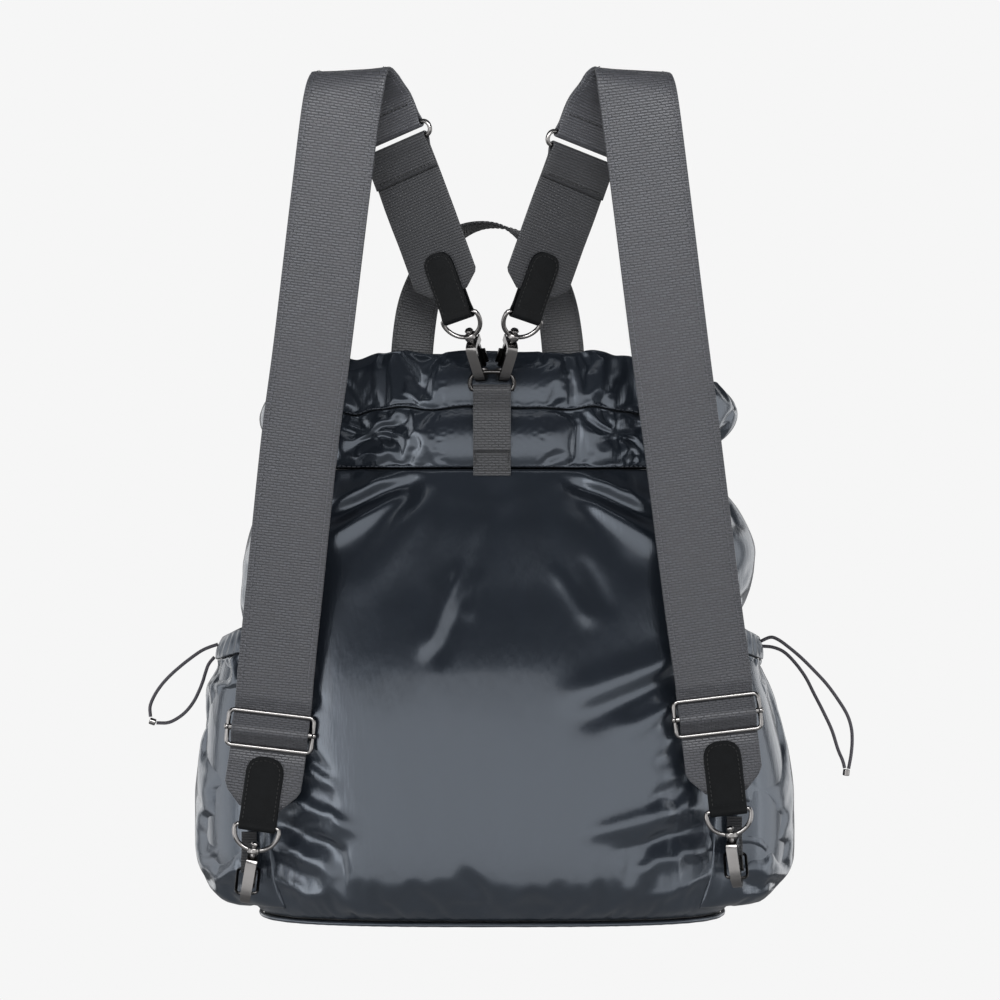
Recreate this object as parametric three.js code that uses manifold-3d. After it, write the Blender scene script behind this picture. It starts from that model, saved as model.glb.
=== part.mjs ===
// Quilted puffer backpack, seen from behind: a padded drawstring sack with a two-tier collar, two side
// pockets with corded cuffs, and a webbing harness that clips on with four swivel hooks.
// Millimetres, +Z up, +X to the right as the harness side is looked at, +Y away from that side.
// The origin lies midway between the undersides of the two strap tops, where the pack hangs.
import * as THREE from 'three';
import { mergeVertices } from 'three/addons/utils/BufferGeometryUtils.js';
import Module from 'manifold-3d';

const wasm = await Module();
wasm.setup();

// Clearances
const SEAT_GAP = 0.3;
const LAYER_GAP = 0.35;

// Bag
const BAG_CENTER_Y = 115;
const BAG_HALF_WIDTH = 178;
const BAG_HALF_DEPTH = 85;
const SHELL_WALL = 4;
const BASE_SEAM_Z = -549;
const WAIST_Z = -250;
const BASE_WALL = 3;
const BASE_SAG = 4;
const PIPING_SIZE = 3;
const COLUMNS = 48;

// Collar
const COLLAR_HALF_WIDTH = 155;
const COLLAR_HALF_DEPTH = 57;
const COLLAR_TIER = 38;
const COLLAR_WALL = 8;
const EAR_DROP = 22;
const EAR_FLARE_RIGHT = 16;
const EAR_FLARE_LEFT = 8;

// Side pockets
const POCKET_WALL = 3;
const POCKET_TOP_Z = -353;
const POCKET_BOTTOM_Z = -544;
const POCKET_SPAN = 0.62;
const CUFF_HEIGHT = 17;
const MOUTH_DIP = 11;
const BULGE_RIGHT = 32;
const BULGE_LEFT = 27;

// Webbing and harness
const WEB_WIDTH = 50;
const WEB_THICK = 1.4;
const WEB_END_WIDTH = 27;
const WEB_CHAMFER = 12;
const HARNESS_SPREAD = 150;
const HARNESS_DROP = 470;
const HARNESS_BACK = 42;
const SLIDER_WIRE = 2.9;
const SLIDER_HEIGHT = 26;
const SLIDER_CORNER = 3.6;
const SLIDER_PLAY = 1.4;
const BAR_WIRE = 4;
const RIVET_REACH = 2.6;
const RING_WIRE = 2.9;
const RING_SLIT = 2.6;
const SHORT_FLAP = 21;

// Leather tabs
const TAB_WIDTH_LOWER = 24.6;
const TAB_WIDTH_UPPER = 22.6;
const TAB_LENGTH_LOWER = 48.4;
const TAB_LENGTH_UPPER = 46;
const LEATHER = 1.5;

// Swivel hooks
const EYE_WIRE = 3;
const EYE_DROP = 16;
const EYE_SIDE = 2.4;
const BOSS_RADIUS = 4.2;
const BOSS_HEIGHT = 4;
const POST_RADIUS = 1.5;
const POST_CLEARANCE = 0.85;
const HOOK_LENGTH = 35.5;
const HOOK_WIDTH = 7;
const HOOK_TIP_WIDTH = 5.6;
const HOOK_THICK = 2.4;
const JAW_HALF = 5.2;
const GATE_WIDTH = 4.4;
const GATE_THICK = 2.2;
const PAD_WIDTH = 8;
const PIN_RADIUS = 0.8;

// Rings sewn to the bag
const CENTER_WIRE = 3;
const CENTER_TAPE_WIDTH = 25;
const CENTER_RING_HEIGHT = 14.5;
const CENTER_RING_Y = 48;
const CENTER_RING_Z = -186.8;
const CORNER_WIRE = 2.2;
const CORNER_SIDE = 2;
const CORNER_TAPE_WIDTH = 10;
const CORNER_TAPE_LENGTH = 24;
const TAPE_THICK = 1.4;

// Grab handle
const HANDLE_WIDTH = 28;
const HANDLE_THICK = 1.6;
const HANDLE_SPAN = 101;
const HANDLE_RISE = 87;

// Pocket cords
const CORD_DIAMETER = 2.3;
const CRIMP_LENGTH = 4.2;
const CRIMP_DIAMETER = 4.6;

const nylon = { color: 0x59606b, roughness: 0.38, metalness: 0.0 };
const nylonDark = { color: 0x454b55, roughness: 0.42, metalness: 0.0 };
const webbing = { color: 0x505157, roughness: 0.72, metalness: 0.0 };
const webbingDark = { color: 0x2e2f33, roughness: 0.75, metalness: 0.0 };
const leather = { color: 0x1e2326, roughness: 0.55, metalness: 0.0 };
const gunmetal = { color: 0x77726e, roughness: 0.28, metalness: 1.0 };
const blackMetal = { color: 0x17181a, roughness: 0.35, metalness: 0.8 };
const cordColor = { color: 0x4c4a50, roughness: 0.8, metalness: 0.0 };

const group = new THREE.Group();

const vec = (x, y, z) => new THREE.Vector3(x, y, z);
const lerp = (a, b, share) => a + (b - a) * share;

// Adds one named mesh
function add(name, geometry, look, matrix) {
  const mesh = new THREE.Mesh(geometry, new THREE.MeshStandardMaterial(look));
  mesh.name = name;
  if (matrix) {
    matrix.decompose(mesh.position, mesh.quaternion, mesh.scale);
  }
  group.add(mesh);
  return mesh;
}

// Turns a list of points and triangles into a geometry that faces out
function faced(points, faces) {
  let volume = 0;
  const cross = vec(0, 0, 0);
  for (let i = 0; i < faces.length; i += 3) {
    const [a, b, c] = [points[faces[i]], points[faces[i + 1]], points[faces[i + 2]]];
    volume += a.dot(cross.crossVectors(b, c));
  }
  if (volume < 0) {
    faces.reverse();
  }
  const geometry = new THREE.BufferGeometry();
  geometry.setFromPoints(points);
  geometry.setIndex(faces);
  geometry.computeVertexNormals();
  return geometry;
}

// Skins loops of equal count; open runs are closed by strips between the loop's two halves.
// Opposite faces share their diagonals, so that a twisted strip keeps its thickness.
function skin(rows, ringed) {
  const count = rows[0].length;
  const faces = [];
  const quad = (a, b, c, d) => faces.push(a, b, c, a, c, d);
  const spans = ringed ? rows.length : rows.length - 1;
  for (let i = 0; i < spans; i += 1) {
    const here = i * count;
    const next = ((i + 1) % rows.length) * count;
    for (let j = 0; j < count; j += 1) {
      const k = (j + 1) % count;
      if (j < count / 2) {
        quad(here + j, here + k, next + k, next + j);
      } else {
        quad(here + k, next + k, next + j, here + j);
      }
    }
  }
  if (!ringed) {
    const far = (rows.length - 1) * count;
    for (let j = 0; j < count / 2 - 1; j += 1) {
      const k = count - 1 - j;
      quad(j, k, k - 1, j + 1);
      quad(far + j, far + j + 1, far + k - 1, far + k);
    }
  }
  return faced(rows.flat(), faces);
}

// Solid for cutting and joining
function solid(geometry) {
  const bare = geometry.clone();
  bare.deleteAttribute('normal');
  bare.deleteAttribute('uv');
  const merged = mergeVertices(bare, 1e-4);
  const mesh = new wasm.Mesh({
    numProp: 3,
    vertProperties: new Float32Array(merged.attributes.position.array),
    triVerts: new Uint32Array(merged.index.array),
  });
  mesh.merge();
  return new wasm.Manifold(mesh);
}

function geometryOf(manifold) {
  const mesh = manifold.getMesh();
  const geometry = new THREE.BufferGeometry();
  geometry.setAttribute('position', new THREE.BufferAttribute(mesh.vertProperties, 3));
  geometry.setIndex(new THREE.BufferAttribute(mesh.triVerts, 1));
  geometry.computeVertexNormals();
  return geometry;
}

function box(width, depth, height, x, y, z) {
  return solid(new THREE.BoxGeometry(width, depth, height).translate(x, y, z));
}

// Cylinder along X ('x') or Z ('z')
function rod(axis, radius, length, x, y, z, sides = 12) {
  const geometry = new THREE.CylinderGeometry(radius, radius, length, sides);
  if (axis === 'x') {
    geometry.rotateZ(Math.PI / 2);
  } else {
    geometry.rotateX(Math.PI / 2);
  }
  return solid(geometry.translate(x, y, z));
}

// Reads a table of rows by its first column, with smooth steps between rows
function readTable(table, at) {
  const last = table.length - 1;
  if (at <= table[0][0]) {
    return table[0].slice(1);
  }
  if (at >= table[last][0]) {
    return table[last].slice(1);
  }
  const i = table.findIndex((row) => row[0] > at) - 1;
  const [p0, p1, p2, p3] = [i - 1, i, i + 1, i + 2].map((n) => table[Math.min(Math.max(n, 0), last)]);
  const span = p2[0] - p1[0];
  const t = (at - p1[0]) / span;
  return p1.slice(1).map((value, c) => {
    const k = c + 1;
    const slope1 = p1 === p0 ? (p2[k] - p1[k]) / span : (p2[k] - p0[k]) / (p2[0] - p0[0]);
    const slope2 = p2 === p3 ? (p2[k] - p1[k]) / span : (p3[k] - p1[k]) / (p3[0] - p1[0]);
    const [t2, t3] = [t * t, t * t * t];
    return value * (2 * t3 - 3 * t2 + 1) + p2[k] * (3 * t2 - 2 * t3)
      + slope1 * span * (t3 - 2 * t2 + t) + slope2 * span * (t3 - t2);
  });
}

// Bag sections from the base seam (0) to the waist (1)
// height share, left and right share of BAG_HALF_WIDTH, depth share of BAG_HALF_DEPTH, squareness
const BAG_TABLE = [
  [0.0, 0.845, 0.845, 0.8, 3.1],
  [0.03, 0.9, 0.9, 0.89, 3.1],
  [0.1, 0.944, 0.944, 0.965, 3.0],
  [0.25, 0.966, 0.966, 1.0, 3.0],
  [0.45, 0.972, 0.972, 0.99, 3.0],
  [0.66, 0.955, 0.966, 0.91, 2.9],
  [0.75, 0.943, 0.992, 0.86, 2.8],
  [0.82, 0.932, 1.002, 0.82, 2.7],
  [0.88, 0.91, 0.96, 0.78, 2.6],
  [0.94, 0.876, 0.9, 0.72, 2.6],
  [1.0, 0.85, 0.86, 0.67, 2.6],
];

// Pleats that fall from the waist seam: middle angle and half width in turns, depth in millimetres
const PLEATS = [
  [0.645, 0.02, 3.0],
  [0.7, 0.02, 2.4],
  [0.8, 0.02, 2.4],
  [0.855, 0.02, 3.0],
  [0.13, 0.022, 2.4],
  [0.22, 0.022, 2.4],
  [0.3, 0.022, 2.4],
  [0.38, 0.022, 2.4],
];
const PLEAT_REACH = 55;

// Point of a squared ellipse and its outward direction; turn 0 is +X, 0.25 is away, 0.75 is near
function ovalPoint(turn, left, right, depth, power, z, offset) {
  const angle = turn * Math.PI * 2;
  const [c, s] = [Math.cos(angle), Math.sin(angle)];
  const halfWidth = c < 0 ? left : right;
  const x = halfWidth * Math.sign(c) * Math.abs(c) ** (2 / power);
  const y = depth * Math.sign(s) * Math.abs(s) ** (2 / power);
  const nx = Math.sign(x) * Math.abs(x / halfWidth) ** (power - 1) / halfWidth;
  const ny = Math.sign(y) * Math.abs(y / depth) ** (power - 1) / depth;
  const length = Math.hypot(nx, ny);
  return vec(x + nx / length * offset, BAG_CENTER_Y + y + ny / length * offset, z);
}

function bagPoint(turn, z, offset) {
  const share = (z - BASE_SEAM_Z) / (WAIST_Z - BASE_SEAM_Z);
  const [left, right, depth, power] = readTable(BAG_TABLE, share);
  const fade = Math.exp(-Math.max(WAIST_Z - z, 0) / PLEAT_REACH);
  let dent = 0;
  for (const [middle, half, deep] of PLEATS) {
    dent += deep * fade * Math.exp(-(((turn - middle) / half) ** 2));
  }
  return ovalPoint(turn, left * BAG_HALF_WIDTH, right * BAG_HALF_WIDTH, depth * BAG_HALF_DEPTH, power, z,
    offset - dent);
}

// Closed rings of loops round the bag: one profile loop for each turn
function wrapped(profile) {
  const rows = [];
  for (let i = 0; i < COLUMNS; i += 1) {
    rows.push(profile(i / COLUMNS));
  }
  return skin(rows, true);
}

const SHELL_OUTER = [0, 0.03, 0.09, 0.22, 0.4, 0.6, 0.74, 0.82, 0.88, 0.94, 1];
const SHELL_INNER = [1, 0.8, 0.25, 0.05, 0];
add('body_shell', wrapped((turn) => {
  const height = (share) => lerp(BASE_SEAM_Z, WAIST_Z, share);
  const outer = SHELL_OUTER.map((share) => bagPoint(turn, height(share), 0));
  const inner = SHELL_INNER.map((share) => bagPoint(turn, height(share), -SHELL_WALL));
  return outer.concat(inner);
}), nylon);

// Base: a shallow sagging panel under the seam
const baseSag = (share) => BASE_SAG * (1 - share ** 4);
const baseTop = BASE_SEAM_Z - SEAT_GAP;
function baseLoop(share, drop) {
  const loop = [];
  for (let i = 0; i < COLUMNS; i += 1) {
    const edge = bagPoint(i / COLUMNS, BASE_SEAM_Z, -SEAT_GAP - PIPING_SIZE / 2);
    loop.push(vec(edge.x * share, BAG_CENTER_Y + (edge.y - BAG_CENTER_Y) * share,
      baseTop - drop - baseSag(share)));
  }
  return loop;
}
const FLAT_CENTER = 0.45;
const baseUpper = [FLAT_CENTER, 0.8, 1].map((share) => baseLoop(share, 0));
const baseUnder = [1, 0.8, FLAT_CENTER].map((share) => baseLoop(share, BASE_WALL));
add('base_panel', skin(baseUpper.concat(baseUnder), false), nylonDark);

// Corded seam round the base
add('base_piping', wrapped((turn) => {
  const mid = BASE_SEAM_Z - SEAT_GAP - PIPING_SIZE / 2;
  const loop = [];
  for (let i = 0; i < 4; i += 1) {
    const angle = (i / 4) * Math.PI * 2;
    const out = PIPING_SIZE / 2 * Math.cos(angle);
    const rise = PIPING_SIZE / 2 * Math.sin(angle);
    const p = bagPoint(turn, BASE_SEAM_Z, out);
    loop.push(vec(p.x, p.y, mid + rise));
  }
  return loop;
}), nylonDark);

// Collar: how far a turn lies toward a side, 0 in the middle and 1 at the ear
const sideShare = (turn) => Math.abs(Math.cos(turn * Math.PI * 2)) ** 4;
const seamOne = (turn) => WAIST_Z + SEAT_GAP + COLLAR_TIER + 1.5 - EAR_DROP * sideShare(turn);
const rimTop = (turn) => seamOne(turn) + COLLAR_TIER;

// Gathers round the collar: lobes, depth in millimetres, phase in turns
const RUFFLES_LOWER = [[13, 1.1, 0.03], [17, 0.8, 0.4]];
const RUFFLES_UPPER = [[9, 1.2, 0.1], [14, 0.9, 0.55]];
// Where the drawcord pinches the tiers: middle turn, half width in turns, depth
const KNOTS = [[0.668, 0.016, 4], [0.845, 0.018, 4]];

function collarPoint(turn, share, tier, inset) {
  const [low, high] = tier === 'lower'
    ? [WAIST_Z + SEAT_GAP, seamOne(turn)]
    : [seamOne(turn) + SEAT_GAP, rimTop(turn)];
  const puff = Math.sin(Math.PI * Math.min(Math.max(share, 0.04), 0.96)) ** 0.6;
  const ear = tier === 'upper' ? sideShare(turn) * Math.sin(Math.PI * (0.15 + 0.6 * share)) ** 2 : 0;
  let gather = 0;
  for (const [lobes, deep, phase] of tier === 'lower' ? RUFFLES_LOWER : RUFFLES_UPPER) {
    gather += deep * (Math.cos((turn + phase) * lobes * Math.PI * 2) - 1) / 2;
  }
  for (const [middle, half, deep] of KNOTS) {
    gather -= deep * Math.exp(-(((turn - middle) / half) ** 2));
  }
  const near = turn > 0.72 && turn < 0.78 ? 0 : 1;
  const lean = tier === 'upper' ? lerp(0, -5, share) : 0;
  const out = lerp(-3, 3, puff) + lean + near * gather * (inset > 0 ? 0.3 : 1) - inset;
  const left = COLLAR_HALF_WIDTH - 3 + ear * EAR_FLARE_LEFT;
  const right = COLLAR_HALF_WIDTH + ear * EAR_FLARE_RIGHT;
  return ovalPoint(turn, left, right, COLLAR_HALF_DEPTH, 2.7, lerp(low, high, share), out);
}

const TIER_OUTER = [0, 0.12, 0.35, 0.65, 0.88, 1];
const TIER_INNER = [1, 0.5, 0];
for (const tier of ['lower', 'upper']) {
  add(`collar_${tier}`, wrapped((turn) => {
    const outer = TIER_OUTER.map((share) => collarPoint(turn, share, tier, 0));
    const inner = TIER_INNER.map((share) => collarPoint(turn, share, tier, COLLAR_WALL));
    return outer.concat(inner);
  }), nylon);
}

// Pocket bulge: share of pocket height from the bottom, share of the right and of the left bulge
const POCKET_TABLE = [
  [0.0, 0.1, 0.1],
  [0.015, 0.55, 0.5],
  [0.05, 0.82, 0.78],
  [0.1, 0.95, 0.9],
  [0.16, 1.0, 1.0],
  [0.28, 0.99, 0.98],
  [0.42, 0.94, 0.93],
  [0.56, 0.78, 0.85],
  [0.7, 0.58, 0.79],
  [0.8, 0.44, 0.7],
  [0.875, 0.3, 0.5],
  [0.93, 0.28, 0.49],
  [1.0, 0.22, 0.36],
];

// Pocket surface: side +1 or -1, across 0 (near edge) to 1 (far edge), height share, layer offset
function pocketPoint(side, across, share, offset) {
  const reach = Math.asin(POCKET_SPAN) / (Math.PI * 2);
  const swing = lerp(-reach, reach, across);
  const turn = side > 0 ? (swing + 1) % 1 : 0.5 - swing;
  const arch = Math.sin(Math.PI * across) ** 1.15;
  const top = POCKET_TOP_Z - MOUTH_DIP * Math.sin(Math.PI * across) ** 2;
  const z = lerp(POCKET_BOTTOM_Z, top, share);
  const [right, left] = readTable(POCKET_TABLE, share);
  const bulge = side > 0 ? right * BULGE_RIGHT : left * BULGE_LEFT;
  const depth = Math.max(bulge * arch, 0);
  return bagPoint(turn, z, SEAT_GAP + depth + offset);
}

const cuffShare = 1 - CUFF_HEIGHT / (POCKET_TOP_Z - POCKET_BOTTOM_Z);
const seamShare = SEAT_GAP / (POCKET_TOP_Z - POCKET_BOTTOM_Z);
const POCKET_ACROSS = [0, 0.03, 0.1, 0.2, 0.32, 0.44, 0.56, 0.68, 0.8, 0.9, 0.97, 1];
const BAG_LEVELS = [0, 0.02, 0.06, 0.16, 0.32, 0.56, 0.8, 1];
const CUFF_LEVELS = [0, 0.3, 0.7, 1];
for (const [label, side] of [['left', -1], ['right', 1]]) {
  const panel = (levels, low, high) => skin(POCKET_ACROSS.map((across) => {
    const heights = levels.map((level) => lerp(low, high, level));
    const outer = heights.map((share) => pocketPoint(side, across, share, POCKET_WALL));
    const inner = heights.map((share) => pocketPoint(side, across, share, 0)).reverse();
    return outer.concat(inner);
  }), false);
  add(`pocket_${label}`, panel(BAG_LEVELS, 0, cuffShare - seamShare), nylon);
  add(`pocket_cuff_${label}`, panel(CUFF_LEVELS, cuffShare, 1), nylonDark);
}

// Nearest skin of the bag or a pocket to the viewer at a place in the view
function skinY(x, z) {
  let nearest = BAG_CENTER_Y;
  const seek = (point, low, high) => {
    for (let i = 0; i < 400; i += 1) {
      const a = point(lerp(low, high, i / 400));
      const b = point(lerp(low, high, (i + 1) / 400));
      if ((a.x - x) * (b.x - x) <= 0) {
        nearest = Math.min(nearest, a.y, b.y);
      }
    }
  };
  seek((turn) => bagPoint(turn, z, 0), 0.5, 1);
  const side = Math.sign(x) || 1;
  const share = (z - POCKET_BOTTOM_Z) / (POCKET_TOP_Z - POCKET_BOTTOM_Z);
  if (share > 0 && share < 1) {
    seek((across) => pocketPoint(side, across, share, POCKET_WALL), 0, 0.5);
  }
  return nearest;
}

// Flat strip through stations of point, width direction and half width
function ribbon(stations, thick) {
  const rows = stations.map(({ point, wide, half }, i) => {
    const before = stations[Math.max(i - 1, 0)].point;
    const after = stations[Math.min(i + 1, stations.length - 1)].point;
    const along = after.clone().sub(before).normalize();
    const face = wide.clone().cross(along).normalize().multiplyScalar(thick / 2);
    const edge = wide.clone().multiplyScalar(half);
    return [
      point.clone().sub(edge).sub(face),
      point.clone().add(edge).sub(face),
      point.clone().add(edge).add(face),
      point.clone().sub(edge).add(face),
    ];
  });
  return skin(rows, false);
}

// Round wire through a closed flat path in the XZ plane
function wireLoop(path, diameter, sides = 6) {
  const rows = path.map(([x, z], i) => {
    const [bx, bz] = path[(i + path.length - 1) % path.length];
    const [ax, az] = path[(i + 1) % path.length];
    const length = Math.hypot(ax - bx, az - bz);
    const [nx, nz] = [(az - bz) / length, -(ax - bx) / length];
    const loop = [];
    for (let s = 0; s < sides; s += 1) {
      const angle = (s + 0.5) / sides * Math.PI * 2;
      const out = diameter / 2 * Math.cos(angle);
      loop.push(vec(x + nx * out, diameter / 2 * Math.sin(angle), z + nz * out));
    }
    return loop;
  });
  return skin(rows, true);
}

// Rounded rectangle path, corners turned in a few steps
function roundedPath(halfWidth, halfHeight, corner, steps) {
  const path = [];
  for (const [sx, sz, start] of [[1, 1, 0], [-1, 1, 1], [-1, -1, 2], [1, -1, 3]]) {
    for (let i = 0; i <= steps; i += 1) {
      const angle = (start + i / steps) * Math.PI / 2;
      path.push([sx * (halfWidth - corner) + corner * Math.cos(angle),
        sz * (halfHeight - corner) + corner * Math.sin(angle)]);
    }
  }
  return path;
}

// Harness spine, lower end first: across, back and up as shares of the harness's spread, back and drop,
// then the turn of the webbing about the upright, in degrees
const SPINE_TABLE = {
  left: [
    [-1.0087, 0.78, -1.0043, 0],
    [-0.986, 0.77, -0.9508, 0],
    [-0.9633, 0.76, -0.8972, 0],
    [-0.9507, 0.74, -0.857, 0],
    [-0.9033, 0.643, -0.715, 0],
    [-0.824, 0.38, -0.4904, 0],
    [-0.77, 0.19, -0.3719, 0],
    [-0.688, -0.071, -0.17, 0],
    [-0.632, -0.22, -0.0383, -3],
    [-0.614, -0.205, -0.0128, -8],
    [-0.6, -0.13, 0.0006, -14],
    [-0.586, 0.0, 0.0043, -20],
    [-0.563, 0.125, 0.0008, -24],
    [-0.54, 0.215, -0.0075, -27],
    [-0.515, 0.285, -0.021, -29],
    [-0.4727, 0.405, -0.0436, -30],
    [-0.4233, 0.45, -0.083, -30],
    [-0.3913, 0.479, -0.1096, -30],
    [-0.2513, 0.524, -0.2291, -30],
  ],
  right: [
    [1.0187, 0.78, -0.9822, 0],
    [0.9994, 0.77, -0.9287, 0],
    [0.98, 0.76, -0.8751, 0],
    [0.965, 0.74, -0.835, 0],
    [0.9113, 0.643, -0.715, 0],
    [0.8173, 0.38, -0.4904, 0],
    [0.764, 0.19, -0.3719, 0],
    [0.68, -0.071, -0.17, 0],
    [0.624, -0.22, -0.0383, 3],
    [0.61, -0.205, -0.0128, 8],
    [0.6, -0.13, 0.0006, 14],
    [0.589, 0.0, 0.0043, 20],
    [0.566, 0.125, 0.0008, 24],
    [0.54, 0.215, -0.0075, 27],
    [0.505, 0.29, -0.0245, 29],
    [0.446, 0.407, -0.0557, 30],
    [0.4, 0.45, -0.0957, 30],
    [0.3713, 0.479, -0.1215, 30],
    [0.2487, 0.521, -0.2291, 30],
  ],
};
const SLIDER_ROW = 2;
const RING_ROW = 16;
// The webbing runs straight through the slider and the ring, this far to each side
const RIGID_REACH = 18;
// Straight webbing beyond the top of the leather tab
const TAB_LEAD = 5;

// Width direction: level, turned by yaw, square to the run
function wideAt(along, yaw) {
  const level = vec(Math.cos(yaw), Math.sin(yaw), 0);
  return level.sub(along.clone().multiplyScalar(level.dot(along))).normalize();
}

function makeSpine(rows, upperEnd) {
  const points = rows.map(([x, y, z]) => vec(x * HARNESS_SPREAD, y * HARNESS_BACK, z * HARNESS_DROP));
  const lastPoint = points[points.length - 1];
  for (const share of [0.3, 0.65, 1]) {
    points.push(lastPoint.clone().lerp(upperEnd, share));
  }
  const yaws = rows.map((row) => row[3] * Math.PI / 180);
  const lastYaw = yaws[rows.length - 1];
  while (yaws.length < points.length) {
    yaws.push(lastYaw);
  }
  const curve = new THREE.CatmullRomCurve3(points, false, 'centripetal');
  const total = curve.getLength();
  const steps = 2000;
  const lengths = curve.getLengths(steps);
  const placeOf = (row) => lengths[Math.round(steps * row / (points.length - 1))];
  const curved = (distance) => {
    const share = Math.min(Math.max(distance / total, 0), 1);
    const along = curve.getTangentAt(share);
    const place = curve.getUtoTmapping(share) * (points.length - 1);
    const row = Math.min(Math.floor(place), points.length - 2);
    const wide = wideAt(along, lerp(yaws[row], yaws[row + 1], place - row));
    return { point: curve.getPointAt(share), along, wide };
  };
  const zones = [SLIDER_ROW, RING_ROW].map((row) => {
    const home = placeOf(row);
    return { home, low: home - RIGID_REACH, high: home + RIGID_REACH, ...curved(home) };
  });
  const endAlong = upperEnd.clone().sub(lastPoint).normalize();
  const endWide = wideAt(endAlong, lastYaw);
  const endLow = total - TAB_LENGTH_UPPER - TAB_LEAD;
  zones.push({ home: total, low: endLow, high: total, point: upperEnd, along: endAlong, wide: endWide });
  const at = (distance, offset, half) => {
    const zone = zones.find(({ low, high }) => distance > low && distance <= high);
    const { point, along, wide } = zone || curved(distance);
    const out = wide.clone().cross(along).normalize();
    const place = point.clone().addScaledVector(out, offset);
    if (zone) {
      place.addScaledVector(along, distance - zone.home);
    }
    return { point: place, wide, half, along, out };
  };
  return { at, placeOf, total, straightFrom: endLow };
}

// Strand distances from the middle of the run
const layer = (WEB_THICK + LAYER_GAP) / 2;
const webStep = WEB_THICK + LAYER_GAP;
const ringFold = RING_WIRE / 2 + LAYER_GAP + WEB_THICK / 2;
const ringHalf = ringFold + WEB_THICK / 2 + RING_SLIT / 2;

// Where a strand leaves the slider's frame wire and meets the bar: the line that touches both circles
function crossing(barRound, wireRound, spacing) {
  const angle = Math.acos((barRound + wireRound) / spacing);
  return [
    [barRound * Math.cos(angle), barRound * Math.sin(angle)],
    [spacing - wireRound * Math.cos(angle), -wireRound * Math.sin(angle)],
  ];
}

function longStrap(spine) {
  const half = WEB_WIDTH / 2;
  const slider = spine.placeOf(SLIDER_ROW);
  const ring = spine.placeOf(RING_ROW);
  const spacing = (SLIDER_HEIGHT - SLIDER_WIRE) / 2;
  const frameRound = (SLIDER_WIRE + WEB_THICK) / 2 + LAYER_GAP;
  const barFold = (BAR_WIRE + WEB_THICK) / 2 + LAYER_GAP;
  const list = [];
  const put = (distance, offset, wide = half) => list.push(spine.at(distance, offset, wide));
  put(0, 0, WEB_END_WIDTH / 2);
  put(WEB_CHAMFER, 0);
  put(slider - spacing * 1.5, 0);

  // Running strand: behind the frame, over the bar, behind the frame
  const over = crossing(barFold + webStep, frameRound, spacing);
  put(slider - spacing * 1.15, -frameRound * 0.95);
  put(slider - spacing, -frameRound);
  put(slider - over[1][0], over[1][1]);
  put(slider - over[0][0], over[0][1]);
  put(slider, barFold + webStep);
  put(slider + over[0][0], over[0][1]);
  put(slider + over[1][0], over[1][1]);
  put(slider + spacing, -frameRound);
  put(slider + spacing * 1.15, -frameRound * 0.95);

  // Front run, shoulder and rear run
  const stops = [];
  for (let row = SLIDER_ROW + 1; row < RING_ROW - 1; row += 1) {
    const [a, b] = [spine.placeOf(row), spine.placeOf(row + 1)];
    const parts = row >= SLIDER_ROW + 6 ? 2 : 1;
    for (let i = 0; i < parts; i += 1) {
      stops.push(lerp(a, b, i / parts));
    }
  }
  stops[0] = slider + spacing * 2;
  for (const stop of stops) {
    put(stop, layer);
  }
  const bar = ring - ringHalf;
  put(bar - ringFold * 3, layer);
  for (let i = 0; i <= 6; i += 1) {
    const angle = i / 6 * Math.PI;
    put(bar + ringFold * Math.sin(angle), ringFold * Math.cos(angle));
  }
  put(bar - ringFold * 3, -layer);
  for (const stop of stops.reverse()) {
    put(stop, -layer);
  }

  // Sewn end: behind the running strand, round the bar and up behind itself
  const under = crossing(barFold, frameRound + webStep, spacing);
  put(slider + spacing * 1.2, -(frameRound + webStep) * 0.92);
  put(slider + spacing, -frameRound - webStep);
  put(slider + under[1][0], under[1][1]);
  for (let i = 0; i <= 6; i += 1) {
    const angle = lerp(Math.PI / 2 - Math.acos(under[0][0] / barFold), -Math.PI, i / 6);
    put(slider + barFold * Math.sin(angle), barFold * Math.cos(angle));
  }
  put(slider + spacing * 0.8, -frameRound - webStep * 1.9);
  put(slider + spacing, -frameRound - webStep * 2);
  put(slider + spacing * 1.5, -frameRound - webStep * 1.85);
  return ribbon(list, WEB_THICK);
}

function shortStrap(spine, tabLength) {
  const half = WEB_WIDTH / 2;
  const bar = spine.placeOf(RING_ROW) + ringHalf;
  const end = spine.total - tabLength * 0.42;
  const list = [];
  const put = (distance, offset, wide = half) => list.push(spine.at(distance, offset, wide));
  put(bar + SHORT_FLAP, -webStep);
  put(bar + ringFold * 3, -webStep);
  for (let i = 0; i <= 6; i += 1) {
    const angle = i / 6 * Math.PI;
    put(bar - ringFold * Math.sin(angle), -ringFold * Math.cos(angle));
  }
  put(bar + ringFold * 3, 0);
  put(bar + SHORT_FLAP, 0);
  put(lerp(bar + SHORT_FLAP, spine.straightFrom, 0.6), 0);
  put(spine.straightFrom + SEAT_GAP, 0);
  put(end - WEB_CHAMFER, 0);
  put(end, 0, WEB_END_WIDTH / 2);
  return ribbon(list, WEB_THICK);
}

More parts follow.
